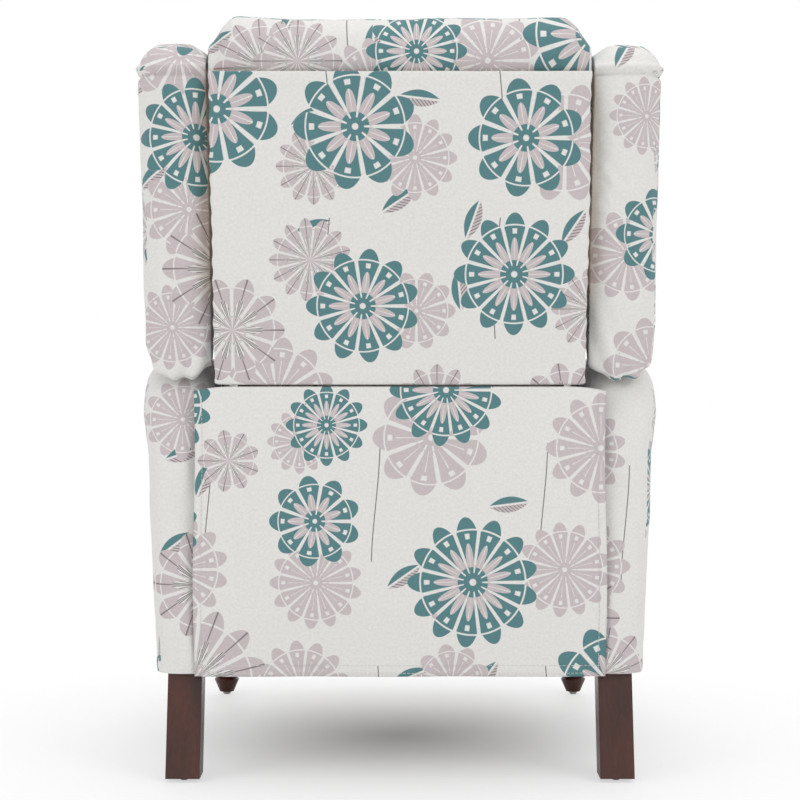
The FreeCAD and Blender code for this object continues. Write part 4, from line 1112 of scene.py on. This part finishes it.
class RECLINER_OT_finishes(bpy.types.Operator):
    """Make every material of the chair"""

    bl_idname = "recliner.finishes"
    bl_label = "Finishes"

    def execute(self, context):
        make_finishes(context.scene)
        return {"FINISHED"}


class RECLINER_OT_arms(bpy.types.Operator):
    """Make the two padded arms"""

    bl_idname = "recliner.arms"
    bl_label = "Arms"

    def execute(self, context):
        for side_name, side in SIDES:
            make_arm(side_name, side, context.scene.recliner_padding)
        return {"FINISHED"}


class RECLINER_OT_wings(bpy.types.Operator):
    """Make the two wings"""

    bl_idname = "recliner.wings"
    bl_label = "Wings"

    def execute(self, context):
        for side_name, side in SIDES:
            make_wing(side_name, side, context.scene.recliner_padding)
        return {"FINISHED"}


class RECLINER_OT_back(bpy.types.Operator):
    """Make the outer back, the roll over its top and the inside cushion"""

    bl_idname = "recliner.back"
    bl_label = "Back"

    def execute(self, context):
        padding = context.scene.recliner_padding
        make_outer_back()
        make_roll(padding)
        make_pad("back_cushion", "inside_back", "back", "inside", 14, padding, 0.014)
        return {"FINISHED"}


class RECLINER_OT_seat(bpy.types.Operator):
    """Make the seat cushion and the footrest's pad"""

    bl_idname = "recliner.seat"
    bl_label = "Seat and Footrest"

    def execute(self, context):
        padding = context.scene.recliner_padding
        make_pad("seat_cushion", "seat_pad", "seat", "seat", 17, padding, 0.014)
        make_pad("footrest_pad", "foot_pad", "footrest", "footrest", 19, padding, 0.012)
        return {"FINISHED"}


class RECLINER_OT_flap(bpy.types.Operator):
    """Make the loose rear flap and its stitched hems"""

    bl_idname = "recliner.flap"
    bl_label = "Rear Flap"

    def execute(self, context):
        make_flap()
        sew_flap(context.scene.recliner_padding)
        return {"FINISHED"}


class RECLINER_OT_hard_parts(bpy.types.Operator):
    """Finish the wood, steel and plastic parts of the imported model"""

    bl_idname = "recliner.hard_parts"
    bl_label = "Wood and Steel"

    def execute(self, context):
        for node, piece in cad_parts.items():
            finish = finish_of(node)
            if finish is None:
                continue
            piece.data.materials.clear()
            piece.data.materials.append(FINISHES[finish])
        return {"FINISHED"}


class RECLINER_OT_studio(bpy.types.Operator):
    """Make the pale floor, the soft lamps and the camera"""

    bl_idname = "recliner.studio"
    bl_label = "Studio"

    def execute(self, context):
        settings = context.scene.recliner_studio
        make_floor()
        make_lamps(settings)
        make_camera(settings)
        return {"FINISHED"}


def finish_of(node):
    """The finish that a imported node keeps, or None where a soft piece stands for it."""
    if node.startswith(("rear_leg", "front_leg")):
        return "dark_wood"
    if node == "footrest_board":
        return "ply"
    if node.startswith("arm_frame") or node.startswith("back_stile"):
        return "frame_wood"
    if node in ("front_cross_rail", "rear_cross_rail", "seat_front_rail", "seat_rear_rail",
                "back_bottom_rail", "back_top_rail"):
        return "frame_wood"
    if node == "front_glides":
        return "pale_plastic"
    if node == "rear_glides":
        return "nail_steel"
    if node.endswith("springs"):
        return "spring_steel"
    if node == "seat_deck":
        return "deck_cloth"
    if node.endswith("rivets") or node in ("rail_screws", "base_bolts"):
        return "zinc_steel"
    if node.startswith(("base_rail", "swing_link", "seat_plate", "drive_link", "fold_link",
                        "stay_link", "foot_bracket", "back_bracket")):
        return "black_steel"
    return None


def sew_flap(settings):
    """Double rows along the bottom hem and single rows down the side hems."""
    box = tuple(Vector(corner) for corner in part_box("back_flap"))
    low, high = box
    tall = high.z - low.z
    half = (high.x - low.x) / 2
    tree = stitch_tree()
    rows = []
    for up in HEM_ROWS:
        rows.append([sewn_spot(-1 + 2 * k / 160 * 0.985 + 0.015, 1 - up / tall, box)
                     for k in range(161)])
    for side in (-1, 1):
        across = side * (1 - SIDE_HEM_ROW / half)
        rows.append([sewn_spot(across, 0.03 + 0.94 * k / 140, box) for k in range(141)])
    stitch_rows("flap_stitches", rows, "flap", tree, settings, "flap_cloth")


def sewn_spot(across, down, box):
    """A stitch's place on the flap's rear face."""
    spot = flap_place(max(-0.99, min(0.99, across)), down, box)
    return spot + Vector((0, 0.0013, 0))


# Studio

def make_floor():
    """A plain pale floor that turns white for the camera away from the chair."""
    size = 12.0
    floor = mesh_object("floor", [(-size, -size, 0), (size, -size, 0), (size, size, 0), (-size, size, 0)],
                        [(0, 1, 2, 3)])
    material, tree, shader = new_material("pale_floor")
    shader.inputs["Base Color"].default_value = (0.95, 0.95, 0.95, 1)
    shader.inputs["Roughness"].default_value = 0.7
    white = tree.nodes.new("ShaderNodeEmission")
    path = tree.nodes.new("ShaderNodeLightPath")
    mix = tree.nodes.new("ShaderNodeMixShader")
    far = tree.nodes.new("ShaderNodeVectorMath")
    far.operation = "LENGTH"
    noodle(tree, object_place(tree), far.inputs[0])
    fade = math_node(tree, "MULTIPLY_ADD", far.outputs["Value"], 1.1, 0.1, clamp=True)
    noodle(tree, math_node(tree, "MULTIPLY", fade, path.outputs["Is Camera Ray"]), mix.inputs[0])
    noodle(tree, shader.outputs[0], mix.inputs[1])
    noodle(tree, white.outputs[0], mix.inputs[2])
    noodle(tree, mix.outputs[0], tree.nodes["Material Output"].inputs["Surface"])
    floor.data.materials.append(material)


def make_lamps(settings):
    """Soft lamps round the object and a plain bright world."""
    world = bpy.data.worlds.new("studio")
    bpy.context.scene.world = world
    world.use_nodes = True
    tree = world.node_tree
    tree.nodes.clear()
    plain = tree.nodes.new("ShaderNodeBackground")
    plain.inputs["Color"].default_value = (1, 1, 1, 1)
    plain.inputs["Strength"].default_value = 0.55
    seen = tree.nodes.new("ShaderNodeBackground")
    seen.inputs["Color"].default_value = (1, 1, 1, 1)
    seen.inputs["Strength"].default_value = 1.0
    path = tree.nodes.new("ShaderNodeLightPath")
    either = math_node(tree, "MAXIMUM", path.outputs["Is Camera Ray"],
                       math_node(tree, "MAXIMUM", path.outputs["Is Glossy Ray"],
                                 path.outputs["Is Transmission Ray"]))
    mix = tree.nodes.new("ShaderNodeMixShader")
    noodle(tree, either, mix.inputs[0])
    noodle(tree, plain.outputs[0], mix.inputs[1])
    noodle(tree, seen.outputs[0], mix.inputs[2])
    target = tree.nodes.new("ShaderNodeOutputWorld")
    noodle(tree, mix.outputs[0], target.inputs["Surface"])
    lamps = (("key", (-2.4, 2.6, 2.6), 2.0, 34), ("fill", (2.6, 2.4, 1.8), 2.2, 24),
             ("top", (0, 0, 3.4), 2.4, 26), ("front", (0, -3.0, 2.0), 2.2, 26))
    for name, place, size, power in lamps:
        data = bpy.data.lights.new(name, "AREA")
        data.size = size
        data.energy = power * settings.light
        lamp = in_scene(name, data)
        lamp.location = place
        aim = Vector((0, 0, 0.5)) - Vector(place)
        lamp.rotation_euler = aim.to_track_quat("-Z", "Y").to_euler()


def make_camera(settings):
    """The camera behind the chair, level, with its verticals upright."""
    data = bpy.data.cameras.new("photo_camera")
    data.lens = settings.lens
    data.sensor_width = 36
    data.shift_y = -0.0263
    camera = in_scene("photo_camera", data)
    camera.location = (0, settings.distance, settings.height)
    camera.rotation_euler = (math.radians(90), 0, math.radians(180))
    bpy.context.scene.camera = camera
    bpy.context.scene.view_settings.view_transform = "Standard"


# Panel and registration

class RECLINER_PT_build(bpy.types.Panel):
    """Lists the steps that build the chair"""

    bl_idname = "RECLINER_PT_build"
    bl_label = "Wingback Recliner"
    bl_space_type = "VIEW_3D"
    bl_region_type = "UI"
    bl_category = "Recliner"

    def draw(self, context):
        layout = self.layout
        for group in (context.scene.recliner_cloth, context.scene.recliner_padding,
                      context.scene.recliner_finish, context.scene.recliner_studio):
            column = layout.column(align=True)
            for label in group.__annotations__:
                column.prop(group, label)
        for operator in OPERATORS:
            layout.operator(operator.bl_idname)


SETTINGS = (("recliner_cloth", ClothSettings), ("recliner_padding", PaddingSettings),
            ("recliner_finish", FinishSettings), ("recliner_studio", StudioSettings))
OPERATORS = (RECLINER_OT_finishes, RECLINER_OT_arms, RECLINER_OT_wings, RECLINER_OT_back,
             RECLINER_OT_seat, RECLINER_OT_flap, RECLINER_OT_hard_parts, RECLINER_OT_studio)


def register():
    """Register the settings, operators and panel."""
    for name, group in SETTINGS:
        bpy.utils.register_class(group)
        setattr(bpy.types.Scene, name, bpy.props.PointerProperty(type=group))
    for operator in OPERATORS:
        bpy.utils.register_class(operator)
    bpy.utils.register_class(RECLINER_PT_build)


def unregister():
    """Take them out again."""
    bpy.utils.unregister_class(RECLINER_PT_build)
    for operator in reversed(OPERATORS):
        bpy.utils.unregister_class(operator)
    for name, group in reversed(SETTINGS):
        delattr(bpy.types.Scene, name)
        bpy.utils.unregister_class(group)


def main():
    """Build the chair."""
    register()
    bpy.ops.recliner.finishes()
    bpy.ops.recliner.arms()
    bpy.ops.recliner.wings()
    bpy.ops.recliner.back()
    bpy.ops.recliner.seat()
    bpy.ops.recliner.flap()
    bpy.ops.recliner.hard_parts()
    bpy.ops.recliner.studio()
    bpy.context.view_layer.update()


if __name__ == "__main__":
    main()
